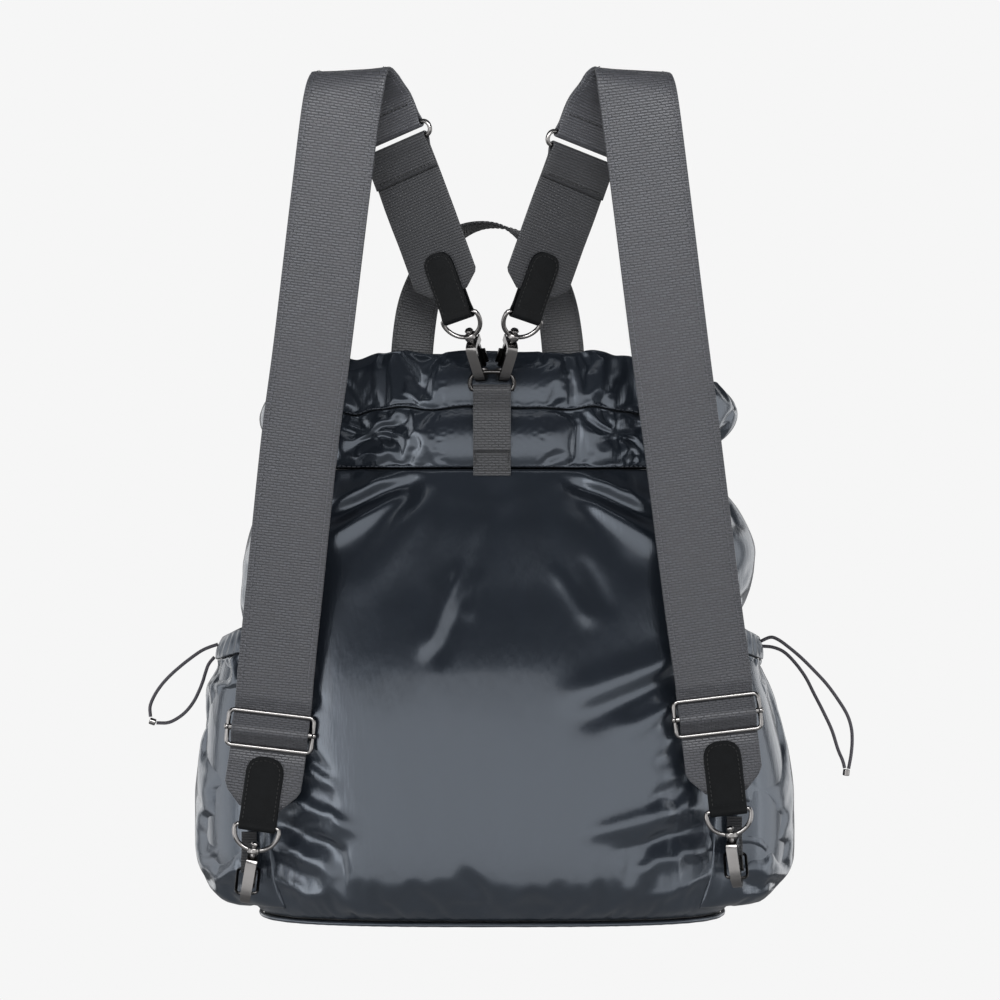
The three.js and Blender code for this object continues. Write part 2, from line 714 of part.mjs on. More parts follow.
// Leather tab in its own frame: eye bar on the origin, +Z along the webbing, -Y to the viewer
function tabGeometry(width, length) {
  const round = (EYE_WIRE + LEATHER) / 2 + LAYER_GAP;
  const flat = (WEB_THICK + LEATHER) / 2 + LAYER_GAP;
  const half = width / 2;
  const wide = vec(1, 0, 0);
  const list = [];
  const put = (y, z, h = half) => list.push({ point: vec(0, y, z), wide, half: h });
  const tip = [[0, 0.22], [0.12, 0.62], [0.4, 0.9], [1, 1]];
  for (const [down, share] of tip) {
    put(-flat, length - round - down * half, half * share);
  }
  put(-flat, round * 2.6);
  put(-round * 0.94, round * 0.9);
  for (let i = 0; i <= 6; i += 1) {
    const angle = i / 6 * Math.PI;
    put(-round * Math.cos(angle), -round * Math.sin(angle));
  }
  put(round * 0.94, round * 0.9);
  put(flat, round * 2.6);
  for (const [down, share] of tip.reverse()) {
    put(flat, length - round - down * half, half * share);
  }
  return ribbon(list, LEATHER);
}

// Hook eye: flat bar in the leather, round loop below it and a drilled boss at its lowest point
function eyeGeometry(barWidth) {
  const half = barWidth / 2 + EYE_SIDE;
  const path = [[-half + 1.6, 0], [half - 1.6, 0], [half - 0.5, -0.7]];
  const center = -2.8;
  for (let i = 0; i <= 10; i += 1) {
    const angle = -i / 10 * Math.PI;
    path.push([half * Math.cos(angle), center + (EYE_DROP + center) * Math.sin(angle)]);
  }
  path.push([-half + 0.5, -0.7]);
  const boss = rod('z', BOSS_RADIUS, BOSS_HEIGHT, 0, 0, -EYE_DROP, 10);
  const hole = rod('z', POST_RADIUS + POST_CLEARANCE, BOSS_HEIGHT + 2, 0, 0, -EYE_DROP, 8);
  return geometryOf(solid(wireLoop(path, EYE_WIRE)).add(boss).subtract(hole));
}

// Hook in its own frame: boss centre on the origin, spine on -Y, gate on +Y, jaw below
const jawCenter = -(HOOK_LENGTH - JAW_HALF - HOOK_THICK);
const headZ = -BOSS_HEIGHT / 2 - 3.4;
const pinY = JAW_HALF + HOOK_THICK / 2;
const pinZ = headZ - 1.6;

function hookGeometry() {
  const round = JAW_HALF + HOOK_THICK / 2;
  const wide = vec(1, 0, 0);
  const list = [];
  const put = (y, z, h) => list.push({ point: vec(0, y, z), wide, half: h });
  put(2.4, headZ, HOOK_WIDTH / 2);
  put(-3.2, headZ, HOOK_WIDTH / 2);
  put(-5.3, headZ - 0.7, HOOK_WIDTH / 2);
  put(-round, headZ - 3, HOOK_WIDTH / 2);
  for (let i = 0; i <= 8; i += 1) {
    const angle = Math.PI * (1 + 0.86 * i / 8);
    put(round * Math.cos(angle), jawCenter + round * Math.sin(angle),
      lerp(HOOK_WIDTH, HOOK_TIP_WIDTH, Math.min(1, i / 4)) / 2);
  }
  const postTop = BOSS_HEIGHT / 2 + 1.4;
  const post = rod('z', POST_RADIUS, postTop - headZ, 0, 0, (postTop + headZ) / 2, 8);
  const dome = solid(new THREE.SphereGeometry(2.9, 8, 5).scale(1, 1, 0.62).translate(0, 0, postTop + 1));
  const cheekThick = (HOOK_WIDTH - GATE_WIDTH) / 2 - SEAT_GAP;
  let body = solid(ribbon(list, HOOK_THICK)).add(post).add(dome);
  for (const side of [-1, 1]) {
    const x = side * (HOOK_WIDTH - cheekThick) / 2;
    body = body.add(box(cheekThick, 7.2, 5, x, pinY - 2.2, pinZ + 0.3));
  }
  return geometryOf(body.add(rod('x', PIN_RADIUS, HOOK_WIDTH - 0.4, 0, pinY, pinZ, 6)));
}

function gateGeometry() {
  const noseTop = jawCenter + (JAW_HALF + HOOK_THICK / 2) * Math.sin(Math.PI * 1.86) + 1.3;
  const low = noseTop + SEAT_GAP;
  const blade = box(GATE_WIDTH, GATE_THICK, pinZ - low, 0, pinY, (pinZ + low) / 2);
  const barrel = rod('x', 1.7, GATE_WIDTH, 0, pinY, pinZ, 8);
  const pad = box(PAD_WIDTH, 1.5, 10.5, 0, pinY + GATE_THICK / 2 + 0.6, low + 7.2);
  const hole = rod('x', PIN_RADIUS + 0.25, GATE_WIDTH + 2, 0, pinY, pinZ, 6);
  return geometryOf(blade.add(barrel).add(pad).subtract(hole));
}

// Frame with X along wide, Z along up
function frameAt(origin, wide, up) {
  const z = up.clone().normalize();
  const x = wide.clone().sub(z.clone().multiplyScalar(wide.dot(z))).normalize();
  const y = z.clone().cross(x);
  return new THREE.Matrix4().makeBasis(x, y, z).setPosition(origin);
}

// Black D-ring of the centre tape: bar below, arch above, with its crown on the origin
const centerHalf = CENTER_TAPE_WIDTH / 2 + 0.6 + CENTER_WIRE / 2;
const centerDrop = CENTER_RING_HEIGHT - CENTER_WIRE;
const ARCH_SHARE = 0.72;
const ARCH_POWER = 0.7;
const archZ = (sine) => -centerDrop * ARCH_SHARE * (1 - Math.abs(sine) ** ARCH_POWER);
function archZAt(x) {
  const cosine = Math.abs(x / centerHalf) ** (1 / ARCH_POWER);
  return archZ(Math.sqrt(1 - cosine ** 2));
}
function archPath() {
  const path = [[-centerHalf + 1.2, -centerDrop], [centerHalf - 1.2, -centerDrop]];
  for (let i = 0; i <= 12; i += 1) {
    const angle = Math.PI * i / 12;
    const cosine = Math.cos(angle);
    const x = centerHalf * Math.sign(cosine) * Math.abs(cosine) ** ARCH_POWER;
    path.push([x, archZ(Math.sin(angle))]);
  }
  return path;
}
add('center_ring', wireLoop(archPath(), CENTER_WIRE)
  .translate(0, CENTER_RING_Y, CENTER_RING_Z), blackMetal);

// Unit direction with its share along another direction taken out
function wideFree(direction, wide) {
  return direction.sub(wide.clone().multiplyScalar(direction.dot(wide))).normalize();
}

// Where the ring's wire lies in the jaw
const JAW_SEAT = vec(0, -1.9, jawCenter - 0.6);
// Upper hooks: across share of the ring, lean of the hook and of the eye, turn about the upright
const UPPER = {
  left: { across: -7.4, up: [-0.24, -0.6, 0.76], eyeUp: [-0.42, -0.42, 0.8], turn: -14, yaw: -30 },
  right: { across: 7.4, up: [0.24, -0.6, 0.76], eyeUp: [0.42, -0.42, 0.8], turn: 14, yaw: 30 },
};
// Lower hooks: hang direction and turn about the upright
const LOWER = {
  left: { up: [0.174, -0.12, 0.97], turn: 0 },
  right: { up: [-0.15, -0.12, 0.97], turn: 12 },
};

const tabLower = tabGeometry(TAB_WIDTH_LOWER, TAB_LENGTH_LOWER);
const tabUpper = tabGeometry(TAB_WIDTH_UPPER, TAB_LENGTH_UPPER);
const eyeLower = eyeGeometry(TAB_WIDTH_LOWER);
const eyeUpper = eyeGeometry(TAB_WIDTH_UPPER);
const hookShape = hookGeometry();
const gateShape = gateGeometry();
const seats = {};

// Slider: frame wire, middle bar and rivet heads in one
function sliderGeometry() {
  const halfWidth = WEB_WIDTH / 2 + SLIDER_PLAY + SLIDER_WIRE / 2;
  const halfHeight = (SLIDER_HEIGHT - SLIDER_WIRE) / 2;
  const frame = solid(wireLoop(roundedPath(halfWidth, halfHeight, SLIDER_CORNER, 3), SLIDER_WIRE));
  const bar = rod('x', BAR_WIRE / 2, 2 * halfWidth, 0, 0, 0, 10);
  const rivets = rod('x', 1.6, 2 * (halfWidth + RIVET_REACH), 0, 0, 0, 8);
  return geometryOf(frame.add(bar).add(rivets));
}
const sliderShape = sliderGeometry();
const ringRound = ringHalf - 0.4;
const ringShape = wireLoop(
  roundedPath(WEB_WIDTH / 2 + SEAT_GAP + ringRound, ringHalf, ringRound, 4), RING_WIRE);

for (const side of ['left', 'right']) {
  const upper = UPPER[side];
  const hookUp = vec(...upper.up).normalize();
  const turned = vec(Math.cos(upper.turn * Math.PI / 180), Math.sin(upper.turn * Math.PI / 180), 0);
  const hookFrame = frameAt(vec(0, 0, 0), turned, hookUp);
  const ringSeat = vec(upper.across, CENTER_RING_Y, CENTER_RING_Z + archZAt(upper.across));
  const boss = ringSeat.clone().sub(JAW_SEAT.clone().applyMatrix4(hookFrame));
  hookFrame.setPosition(boss);
  add(`hook_body_upper_${side}`, hookShape, gunmetal, hookFrame);
  add(`hook_gate_upper_${side}`, gateShape, blackMetal, hookFrame);

  // Eye and tab share the width direction of the webbing's end
  const rows = SPINE_TABLE[side];
  const lastRow = rows[rows.length - 1];
  const last = vec(lastRow[0] * HARNESS_SPREAD, lastRow[1] * HARNESS_BACK, lastRow[2] * HARNESS_DROP);
  let bar = boss.clone();
  let barWide = vec(1, 0, 0);
  for (let round = 0; round < 4; round += 1) {
    barWide = wideAt(last.clone().sub(bar).normalize(), upper.yaw * Math.PI / 180);
    const eyeUp = wideFree(vec(...upper.eyeUp), barWide);
    bar = boss.clone().add(eyeUp.multiplyScalar(EYE_DROP));
  }
  add(`hook_eye_upper_${side}`, eyeUpper, gunmetal, frameAt(bar, barWide, boss.clone().sub(bar).negate()));
  add(`tab_upper_${side}`, tabUpper, leather, frameAt(bar, barWide, last.clone().sub(bar)));

  const spine = makeSpine(rows, bar);
  add(`strap_${side}`, longStrap(spine), webbing);
  add(`short_strap_${side}`, shortStrap(spine, TAB_LENGTH_UPPER), webbingDark);
  const sliderPlace = spine.at(spine.placeOf(SLIDER_ROW), 0, 0);
  add(`slider_${side}`, sliderShape, gunmetal, frameAt(sliderPlace.point, sliderPlace.wide, sliderPlace.along));
  const ringPlace = spine.at(spine.placeOf(RING_ROW), 0, 0);
  const ringUp = ringPlace.along.clone().negate();
  add(`ring_${side}`, ringShape, gunmetal, frameAt(ringPlace.point, ringPlace.wide, ringUp));

  // Lower tab, eye and hook go on from the webbing's lower end
  const tail = spine.at(0, 0, 0);
  const tabTop = spine.at(TAB_LENGTH_LOWER * 0.7, 0, 0);
  const tabUp = tabTop.point.clone().sub(tail.point).normalize();
  const lowerBar = tail.point.clone().sub(tabUp.clone().multiplyScalar(TAB_LENGTH_LOWER * 0.25));
  const lowerFrame = frameAt(lowerBar, tail.wide, tabUp);
  add(`tab_lower_${side}`, tabLower, leather, lowerFrame);
  add(`hook_eye_lower_${side}`, eyeLower, gunmetal, lowerFrame);
  const lower = LOWER[side];
  const lowerBoss = vec(0, 0, -EYE_DROP).applyMatrix4(lowerFrame);
  const lowerTurn = vec(Math.cos(lower.turn * Math.PI / 180), -Math.sin(lower.turn * Math.PI / 180), 0);
  const lowerHook = frameAt(lowerBoss, lowerTurn, vec(...lower.up));
  add(`hook_body_lower_${side}`, hookShape, gunmetal, lowerHook);
  add(`hook_gate_lower_${side}`, gateShape, blackMetal, lowerHook);
  seats[side] = JAW_SEAT.clone().applyMatrix4(lowerHook);
}

// Collar skin nearest to the viewer across the tape, for a height
function collarY(halfWidth, z) {
  let nearest = BAG_CENTER_Y;
  for (const tier of ['lower', 'upper']) {
    for (const turn of [0.75 - halfWidth / 900, 0.75, 0.75 + halfWidth / 900]) {
      for (let i = 0; i <= 40; i += 1) {
        const p = collarPoint(turn, i / 40, tier, 0);
        if (Math.abs(p.z - z) < 1.6) {
          nearest = Math.min(nearest, p.y);
        }
      }
    }
  }
  return nearest;
}

// Centre tape: sewn end at the waist, up over the tiers, round the ring's bar and down again in front
const tapeFold = (CENTER_WIRE + TAPE_THICK) / 2 + LAYER_GAP;
const tapeBarZ = CENTER_RING_Z - centerDrop;
function tapeStations() {
  const wide = vec(1, 0, 0);
  const half = CENTER_TAPE_WIDTH / 2;
  const lean = TAPE_THICK / 2 + SEAT_GAP;
  const list = [];
  const put = (y, z) => list.push({ point: vec(0, y, z), wide, half });
  const low = WAIST_Z - 5;
  put(skinY(0, WAIST_Z - 4) - lean, low);
  for (const share of [0.08, 0.3, 0.55, 0.8, 0.96]) {
    const z = lerp(WAIST_Z, tapeBarZ - 6, share);
    put(collarY(half, z) - lean, z);
  }
  put(CENTER_RING_Y + tapeFold * 0.9, tapeBarZ - 1.2);
  for (let i = 1; i <= 6; i += 1) {
    const angle = Math.PI * i / 6;
    put(CENTER_RING_Y + tapeFold * Math.cos(angle), tapeBarZ + tapeFold * Math.sin(angle));
  }
  put(CENTER_RING_Y - tapeFold * 0.9, tapeBarZ - 2.5);
  const back = list.slice(1, 6).reverse();
  const flap = TAPE_THICK + LAYER_GAP;
  for (const station of back.slice(0, 4)) {
    put(Math.min(station.point.y - flap, CENTER_RING_Y + 3), station.point.z - 2);
  }
  return list;
}
add('center_tape', ribbon(tapeStations(), TAPE_THICK), webbingDark);

// Lower corner anchors: a short tape on the bag, folded round a small ring that the hook holds
for (const side of ['left', 'right']) {
  const seat = seats[side];
  const wireHalf = PAD_WIDTH / 2 + CORNER_SIDE + CORNER_WIRE / 2;
  const inner = side === 'left' ? CORNER_TAPE_WIDTH / 2 : -CORNER_TAPE_WIDTH / 2;
  const foldZ = seat.z + 14;
  const fold = (CORNER_WIRE + TAPE_THICK) / 2 + LAYER_GAP;
  const topY = skinY(seat.x + inner, foldZ) - SEAT_GAP - TAPE_THICK - LAYER_GAP - fold;
  const ringTop = vec(seat.x, topY, foldZ);
  const reach = ringTop.clone().sub(seat);
  const path = roundedPath(wireHalf, reach.length() / 2, 2.6, 3);
  const middle = seat.clone().add(ringTop).multiplyScalar(0.5);
  add(`corner_ring_${side}`, wireLoop(path, CORNER_WIRE), blackMetal,
    frameAt(middle, vec(1, 0, 0), reach));
  const wide = vec(1, 0, 0);
  const half = CORNER_TAPE_WIDTH / 2;
  const list = [];
  const put = (y, z) => list.push({ point: vec(seat.x, y, z), wide, half });
  const headOf = foldZ + CORNER_TAPE_LENGTH;
  const lean = SEAT_GAP + TAPE_THICK / 2;
  put(skinY(seat.x + inner, headOf) - lean, headOf);
  put(skinY(seat.x + inner, foldZ + 12) - lean, foldZ + 12);
  put(topY + fold, foldZ + 3);
  for (let i = 0; i <= 6; i += 1) {
    const angle = Math.PI * i / 6;
    put(topY + fold * Math.cos(angle), foldZ - fold * Math.sin(angle));
  }
  put(topY - fold * 0.9, foldZ + 2.5);
  put(skinY(seat.x + inner, foldZ + 9) - lean - TAPE_THICK - LAYER_GAP - 0.6, foldZ + 9);
  add(`corner_tape_${side}`, ribbon(list, TAPE_THICK), webbingDark);
}

// Grab handle: flat on the collar's inner side at both ends, on edge at the top of its arch
// across share of the span, rise share, yaw in degrees, back in millimetres
const HANDLE_TABLE = [
  [-0.5, -0.5, 0, 0],
  [-0.5, -0.2, 0, 0],
  [-0.5, 0.0, 0, 0.5],
  [-0.47, 0.3, 12, 2],
  [-0.42, 0.52, 30, 4.5],
  [-0.35, 0.72, 52, 7],
  [-0.22, 0.9, 72, 9.5],
  [-0.05, 0.985, 86, 11],
  [0.12, 0.97, 96, 11],
  [0.27, 0.86, 112, 9.5],
  [0.37, 0.7, 130, 7],
  [0.43, 0.52, 150, 4.5],
  [0.47, 0.3, 168, 2],
  [0.5, 0.0, 180, 0.5],
  [0.5, -0.2, 180, 0],
  [0.5, -0.5, 180, 0],
];
const handleBaseZ = rimTop(0.75);
const HANDLE_CENTER_X = -3;

// Innermost place of the collar's inner face behind the handle's two ends
function collarInside() {
  let innermost = -Infinity;
  for (let i = 0; i <= 60; i += 1) {
    const turn = lerp(0.64, 0.86, i / 60);
    for (const share of TIER_INNER) {
      const p = collarPoint(turn, share, 'upper', COLLAR_WALL);
      const across = Math.abs(Math.abs(p.x - HANDLE_CENTER_X) - HANDLE_SPAN / 2);
      if (across < HANDLE_WIDTH / 2 + 4) {
        innermost = Math.max(innermost, p.y);
      }
    }
  }
  return innermost;
}
const handleY = collarInside() + SEAT_GAP + HANDLE_THICK / 2;
function handleStations() {
  const points = HANDLE_TABLE.map(([across, rise, , back]) => vec(
    HANDLE_CENTER_X + across * HANDLE_SPAN, handleY + back, handleBaseZ + rise * HANDLE_RISE));
  return points.map((point, i) => {
    const before = points[Math.max(i - 1, 0)];
    const after = points[Math.min(i + 1, points.length - 1)];
    const along = after.clone().sub(before).normalize();
    const turn = HANDLE_TABLE[i][2] * Math.PI / 180;
    const across = vec(0, 1, 0).cross(along).normalize();
    const wide = across.multiplyScalar(Math.cos(turn)).add(vec(0, 1, 0).multiplyScalar(Math.sin(turn)));
    wide.sub(along.clone().multiplyScalar(wide.dot(along))).normalize();
    return { point, wide, half: HANDLE_WIDTH / 2 };
  });
}
add('grab_handle', ribbon(handleStations(), HANDLE_THICK), webbingDark);

// Pocket cords: free strands from the cuff to the crimp
const CORD_ROUTES = {
  cord_left_upper: [
    [-186.5, 100, -369.2], [-193, 99.6, -371.4], [-198, 99, -373.8], [-204.7, 98, -378.5], [-211.5, 97, -383.9],
    [-218.3, 96, -390], [-224.4, 95, -396.8], [-229, 94, -404], [-231.6, 93, -411], [-231.2, 92.3, -417.8],
  ],
  cord_left_lower: [
    [-188.8, 100.3, -377.8], [-192.6, 99.4, -382.5], [-194.6, 98, -388], [-196.2, 96, -394], [-198.8, 95, -400.8],
    [-202.4, 94, -408], [-207.6, 93, -414.6], [-213.6, 92.6, -419.2], [-219.6, 92.4, -421.8],
    [-227.1, 92.2, -421.9],
  ],
  cord_right_upper: [
    [182.3, 98, -367], [189, 97, -364.2], [194, 96, -365.8], [200.3, 95, -370.3],
    [209.2, 94, -377.8], [218, 93, -386.6], [226.2, 92, -395.5], [233.6, 91, -405.7], [239.7, 90, -415.8],
    [242.5, 89, -424.7], [243.1, 88.6, -433.5], [242.3, 88.3, -443], [240.55, 88, -452.5],
  ],
  cord_right_lower: [
    [183.2, 100, -370.4], [191, 99, -371.2], [198.3, 98, -374.4], [205.8, 97, -381.9],
    [212.6, 96, -391.4], [218, 94, -402.3], [224.1, 92, -414.5], [229.6, 90.4, -426.7], [233.6, 89.2, -439.6],
    [236.6, 88.2, -447], [237.9, 88, -452],
  ],
};
const CRIMPS = {
  crimp_left: { at: [-229.8, 92.2, -421], along: [1, -0.35] },
  crimp_right: { at: [239, 88, -455], along: [0.1, 1] },
};
for (const [name, route] of Object.entries(CORD_ROUTES)) {
  const path = new THREE.CatmullRomCurve3(route.map((p) => vec(...p)));
  const section = new THREE.Shape();
  for (let i = 0; i < 8; i += 1) {
    const angle = i / 8 * Math.PI * 2;
    const [x, y] = [CORD_DIAMETER / 2 * Math.cos(angle), CORD_DIAMETER / 2 * Math.sin(angle)];
    if (i === 0) {
      section.moveTo(x, y);
    } else {
      section.lineTo(x, y);
    }
  }
  const steps = Math.round(path.getLength() / (CORD_DIAMETER * 3));
  add(name, new THREE.ExtrudeGeometry(section, { steps, bevelEnabled: false, extrudePath: path }), cordColor);
}
for (const [name, { at, along }] of Object.entries(CRIMPS)) {
  const barrel = new THREE.CylinderGeometry(CRIMP_DIAMETER / 2, CRIMP_DIAMETER / 2, CRIMP_LENGTH, 12);
  const up = vec(along[0], 0, along[1]).normalize();
  const frame = new THREE.Matrix4().makeRotationFromQuaternion(
    new THREE.Quaternion().setFromUnitVectors(vec(0, 1, 0), up));
  add(name, barrel, gunmetal, frame.setPosition(vec(...at)));
}

export default group;
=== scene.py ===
"""Quilted puffer backpack, seen from its harness side: shell, collar, pockets, webbing, leather, fittings and cords."""

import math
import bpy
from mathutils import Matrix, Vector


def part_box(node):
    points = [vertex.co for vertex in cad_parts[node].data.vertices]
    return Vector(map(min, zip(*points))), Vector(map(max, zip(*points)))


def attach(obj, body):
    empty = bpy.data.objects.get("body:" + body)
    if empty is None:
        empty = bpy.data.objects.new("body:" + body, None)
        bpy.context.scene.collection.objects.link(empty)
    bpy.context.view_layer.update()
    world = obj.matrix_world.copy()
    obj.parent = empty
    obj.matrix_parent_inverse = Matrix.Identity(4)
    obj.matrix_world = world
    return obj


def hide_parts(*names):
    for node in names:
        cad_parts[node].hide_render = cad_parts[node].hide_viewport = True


bl_info = {
    "name": "Quilted Puffer Backpack",
    "version": (1, 0, 0),
    "blender": (4, 5, 0),
    "location": "View3D > Sidebar > Backpack",
    "description": "Builds the padded shell, harness, fittings and studio of a puffer backpack",
    "category": "Add Mesh",
}

import bmesh
import bpy
import numpy as np
from mathutils import Vector

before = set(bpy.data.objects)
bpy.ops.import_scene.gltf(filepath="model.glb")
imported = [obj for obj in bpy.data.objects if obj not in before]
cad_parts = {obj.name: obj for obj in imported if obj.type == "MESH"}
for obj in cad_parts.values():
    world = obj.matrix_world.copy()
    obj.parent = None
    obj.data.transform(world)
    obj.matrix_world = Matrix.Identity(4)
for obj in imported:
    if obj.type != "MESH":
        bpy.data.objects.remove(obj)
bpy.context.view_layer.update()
MM = 0.001

# Sizes in millimetres, the same as the solids have
SEAT_GAP = 0.3
LAYER_GAP = 0.35
BAG_CENTER_Y = 115.0
BAG_HALF_WIDTH = 178.0
BAG_HALF_DEPTH = 85.0
SHELL_WALL = 4.0
BASE_SEAM_Z = -549.0
WAIST_Z = -250.0
BASE_WALL = 3.0
BASE_SAG = 4.0
PIPING_SIZE = 3.0
COLLAR_HALF_WIDTH = 155.0
COLLAR_HALF_DEPTH = 57.0
COLLAR_TIER = 38.0
COLLAR_WALL = 8.0
EAR_DROP = 22.0
EAR_FLARE_RIGHT = 16.0
EAR_FLARE_LEFT = 8.0
POCKET_WALL = 3.0
POCKET_TOP_Z = -353.0
POCKET_BOTTOM_Z = -544.0
POCKET_SPAN = 0.62
CUFF_HEIGHT = 17.0
MOUTH_DIP = 11.0
BULGE_RIGHT = 32.0
BULGE_LEFT = 27.0
WEB_END_WIDTH = 27.0
WEB_CHAMFER = 12.0
HARNESS_SPREAD = 150.0
HARNESS_DROP = 470.0
HARNESS_BACK = 42.0
SLIDER_WIRE = 2.9
SLIDER_HEIGHT = 26.0
BAR_WIRE = 4.0
RING_WIRE = 2.9
RING_SLIT = 2.6
SHORT_FLAP = 21.0
TAB_WIDTH_LOWER = 24.6
TAB_WIDTH_UPPER = 22.6
TAB_LENGTH_LOWER = 48.4
TAB_LENGTH_UPPER = 46.0
LEATHER = 1.5
EYE_WIRE = 3.0
EYE_DROP = 16.0
CENTER_WIRE = 3.0
CENTER_TAPE_WIDTH = 25.0
CENTER_RING_HEIGHT = 14.5
CENTER_RING_Y = 48.0
CENTER_RING_Z = -186.8
HANDLE_WIDTH = 28.0
HANDLE_THICK = 1.6
HANDLE_SPAN = 101.0
HANDLE_RISE = 87.0
HANDLE_CENTER_X = -3.0
CORD_DIAMETER = 2.3

# Bag sections from the base seam (0) to the waist (1):
# height share, left and right share of the half width, depth share, squareness
BAG_TABLE = [
    (0.0, 0.845, 0.845, 0.8, 3.1),
    (0.03, 0.9, 0.9, 0.89, 3.1),
    (0.1, 0.944, 0.944, 0.965, 3.0),
    (0.25, 0.966, 0.966, 1.0, 3.0),
    (0.45, 0.972, 0.972, 0.99, 3.0),
    (0.66, 0.955, 0.966, 0.91, 2.9),
    (0.75, 0.943, 0.992, 0.86, 2.8),
    (0.82, 0.932, 1.002, 0.82, 2.7),
    (0.88, 0.91, 0.96, 0.78, 2.6),
    (0.94, 0.876, 0.9, 0.72, 2.6),
    (1.0, 0.85, 0.86, 0.67, 2.6),
]
# Pleats from the waist seam: middle and half width in turns, depth in millimetres
PLEATS = [
    (0.645, 0.02, 3.0),
    (0.7, 0.02, 2.4),
    (0.8, 0.02, 2.4),
    (0.855, 0.02, 3.0),
    (0.13, 0.022, 2.4),
    (0.22, 0.022, 2.4),
    (0.3, 0.022, 2.4),
    (0.38, 0.022, 2.4),
]
PLEAT_REACH = 55.0
# Pocket bulge: height share, right share, left share
POCKET_TABLE = [
    (0.0, 0.1, 0.1),
    (0.015, 0.55, 0.5),
    (0.05, 0.82, 0.78),
    (0.1, 0.95, 0.9),
    (0.16, 1.0, 1.0),
    (0.28, 0.99, 0.98),
    (0.42, 0.94, 0.93),
    (0.56, 0.78, 0.85),
    (0.7, 0.58, 0.79),
    (0.8, 0.44, 0.7),
    (0.875, 0.3, 0.5),
    (0.93, 0.28, 0.49),
    (1.0, 0.22, 0.36),
]
# Folds of the harness side: from x, z to x, z, half width and height, in millimetres
FOLDS = [
    (-62, -252, -104, -272, 6, 5.0),
    (-52, -258, -102, -284, 6, -3.5),
    (-60, -266, -106, -296, 6, 4.0),
    (-48, -258, -92, -310, 9, -1.8),
    (-36, -262, -84, -330, 12, 1.4),
    (12, -262, -24, -320, 14, -1.3),
    (-2, -274, -34, -336, 9, 0.9),
    (-22, -316, -42, -366, 4.2, 3.0),
    (-14, -330, -32, -372, 4, -2.4),
    (-8, -318, -16, -346, 4, 1.6),
    (56, -252, 104, -272, 6, 5.0),
    (48, -258, 104, -286, 6, -3.5),
    (58, -268, 110, -300, 7, 3.8),
    (48, -260, 92, -318, 10, -1.8),
    (40, -316, 62, -348, 4.5, 1.6),
    (60, -310, 76, -342, 4, -1.2),
    (138, -366, 56, -398, 10, 2.6),
    (140, -380, 62, -412, 9, -2.6),
    (142, -394, 88, -420, 8, 2.2),
    (60, -488, 134, -470, 8, 2.6),
    (78, -500, 142, -487, 7, -2.4),
    (90, -512, 147, -500, 7, 2.6),
    (104, -532, 152, -514, 7, 2.6),
    (-100, -458, -138, -440, 6, 2.6),
    (-86, -486, -138, -464, 7, 3.0),
    (-96, -500, -142, -484, 6, -2.6),
    (-98, -514, -146, -499, 6, 2.8),
    (-108, -532, -152, -518, 7, 2.6),
]

# Harness spine, lower end first: across, back and up as shares of the harness's spread, back and drop,
# then the turn of the webbing about the upright, in degrees
SPINE_TABLE = {
    "left": [
        (-1.0087, 0.78, -1.0043, 0),
        (-0.986, 0.77, -0.9508, 0),
        (-0.9633, 0.76, -0.8972, 0),
        (-0.9507, 0.74, -0.857, 0),
        (-0.9033, 0.643, -0.715, 0),
        (-0.824, 0.38, -0.4904, 0),
        (-0.77, 0.19, -0.3719, 0),
        (-0.688, -0.071, -0.17, 0),
        (-0.632, -0.22, -0.0383, -3),
        (-0.614, -0.205, -0.0128, -8),
        (-0.6, -0.13, 0.0006, -14),
        (-0.586, 0.0, 0.0043, -20),
        (-0.563, 0.125, 0.0008, -24),
        (-0.54, 0.215, -0.0075, -27),
        (-0.515, 0.285, -0.021, -29),
        (-0.4727, 0.405, -0.0436, -30),
        (-0.4233, 0.45, -0.083, -30),
        (-0.3913, 0.479, -0.1096, -30),
        (-0.2513, 0.524, -0.2291, -30),
    ],
    "right": [
        (1.0187, 0.78, -0.9822, 0),
        (0.9994, 0.77, -0.9287, 0),
        (0.98, 0.76, -0.8751, 0),
        (0.965, 0.74, -0.835, 0),
        (0.9113, 0.643, -0.715, 0),
        (0.8173, 0.38, -0.4904, 0),
        (0.764, 0.19, -0.3719, 0),
        (0.68, -0.071, -0.17, 0),
        (0.624, -0.22, -0.0383, 3),
        (0.61, -0.205, -0.0128, 8),
        (0.6, -0.13, 0.0006, 14),
        (0.589, 0.0, 0.0043, 20),
        (0.566, 0.125, 0.0008, 24),
        (0.54, 0.215, -0.0075, 27),
        (0.505, 0.29, -0.0245, 29),
        (0.446, 0.407, -0.0557, 30),
        (0.4, 0.45, -0.0957, 30),
        (0.3713, 0.479, -0.1215, 30),
        (0.2487, 0.521, -0.2291, 30),
    ],
}
SLIDER_ROW = 2
RING_ROW = 16
RIGID_REACH = 18.0
TAB_LEAD = 5.0
# Grab handle: across share of the span, rise share, yaw in degrees, back in millimetres
HANDLE_TABLE = [
    (-0.5, -0.5, 0, 0),
    (-0.5, -0.2, 0, 0),
    (-0.5, 0.0, 0, 0.5),
    (-0.47, 0.3, 12, 2),
    (-0.42, 0.52, 30, 4.5),
    (-0.35, 0.72, 52, 7),
    (-0.22, 0.9, 72, 9.5),
    (-0.05, 0.985, 86, 11),
    (0.12, 0.97, 96, 11),
    (0.27, 0.86, 112, 9.5),
    (0.37, 0.7, 130, 7),
    (0.43, 0.52, 150, 4.5),
    (0.47, 0.3, 168, 2),
    (0.5, 0.0, 180, 0.5),
    (0.5, -0.2, 180, 0),
    (0.5, -0.5, 180, 0),
]
# Middle of each knot where the drawcord gathers the collar: x and z
KNOT_PLACES = [(-80.0, -226.0), (83.0, -226.0)]
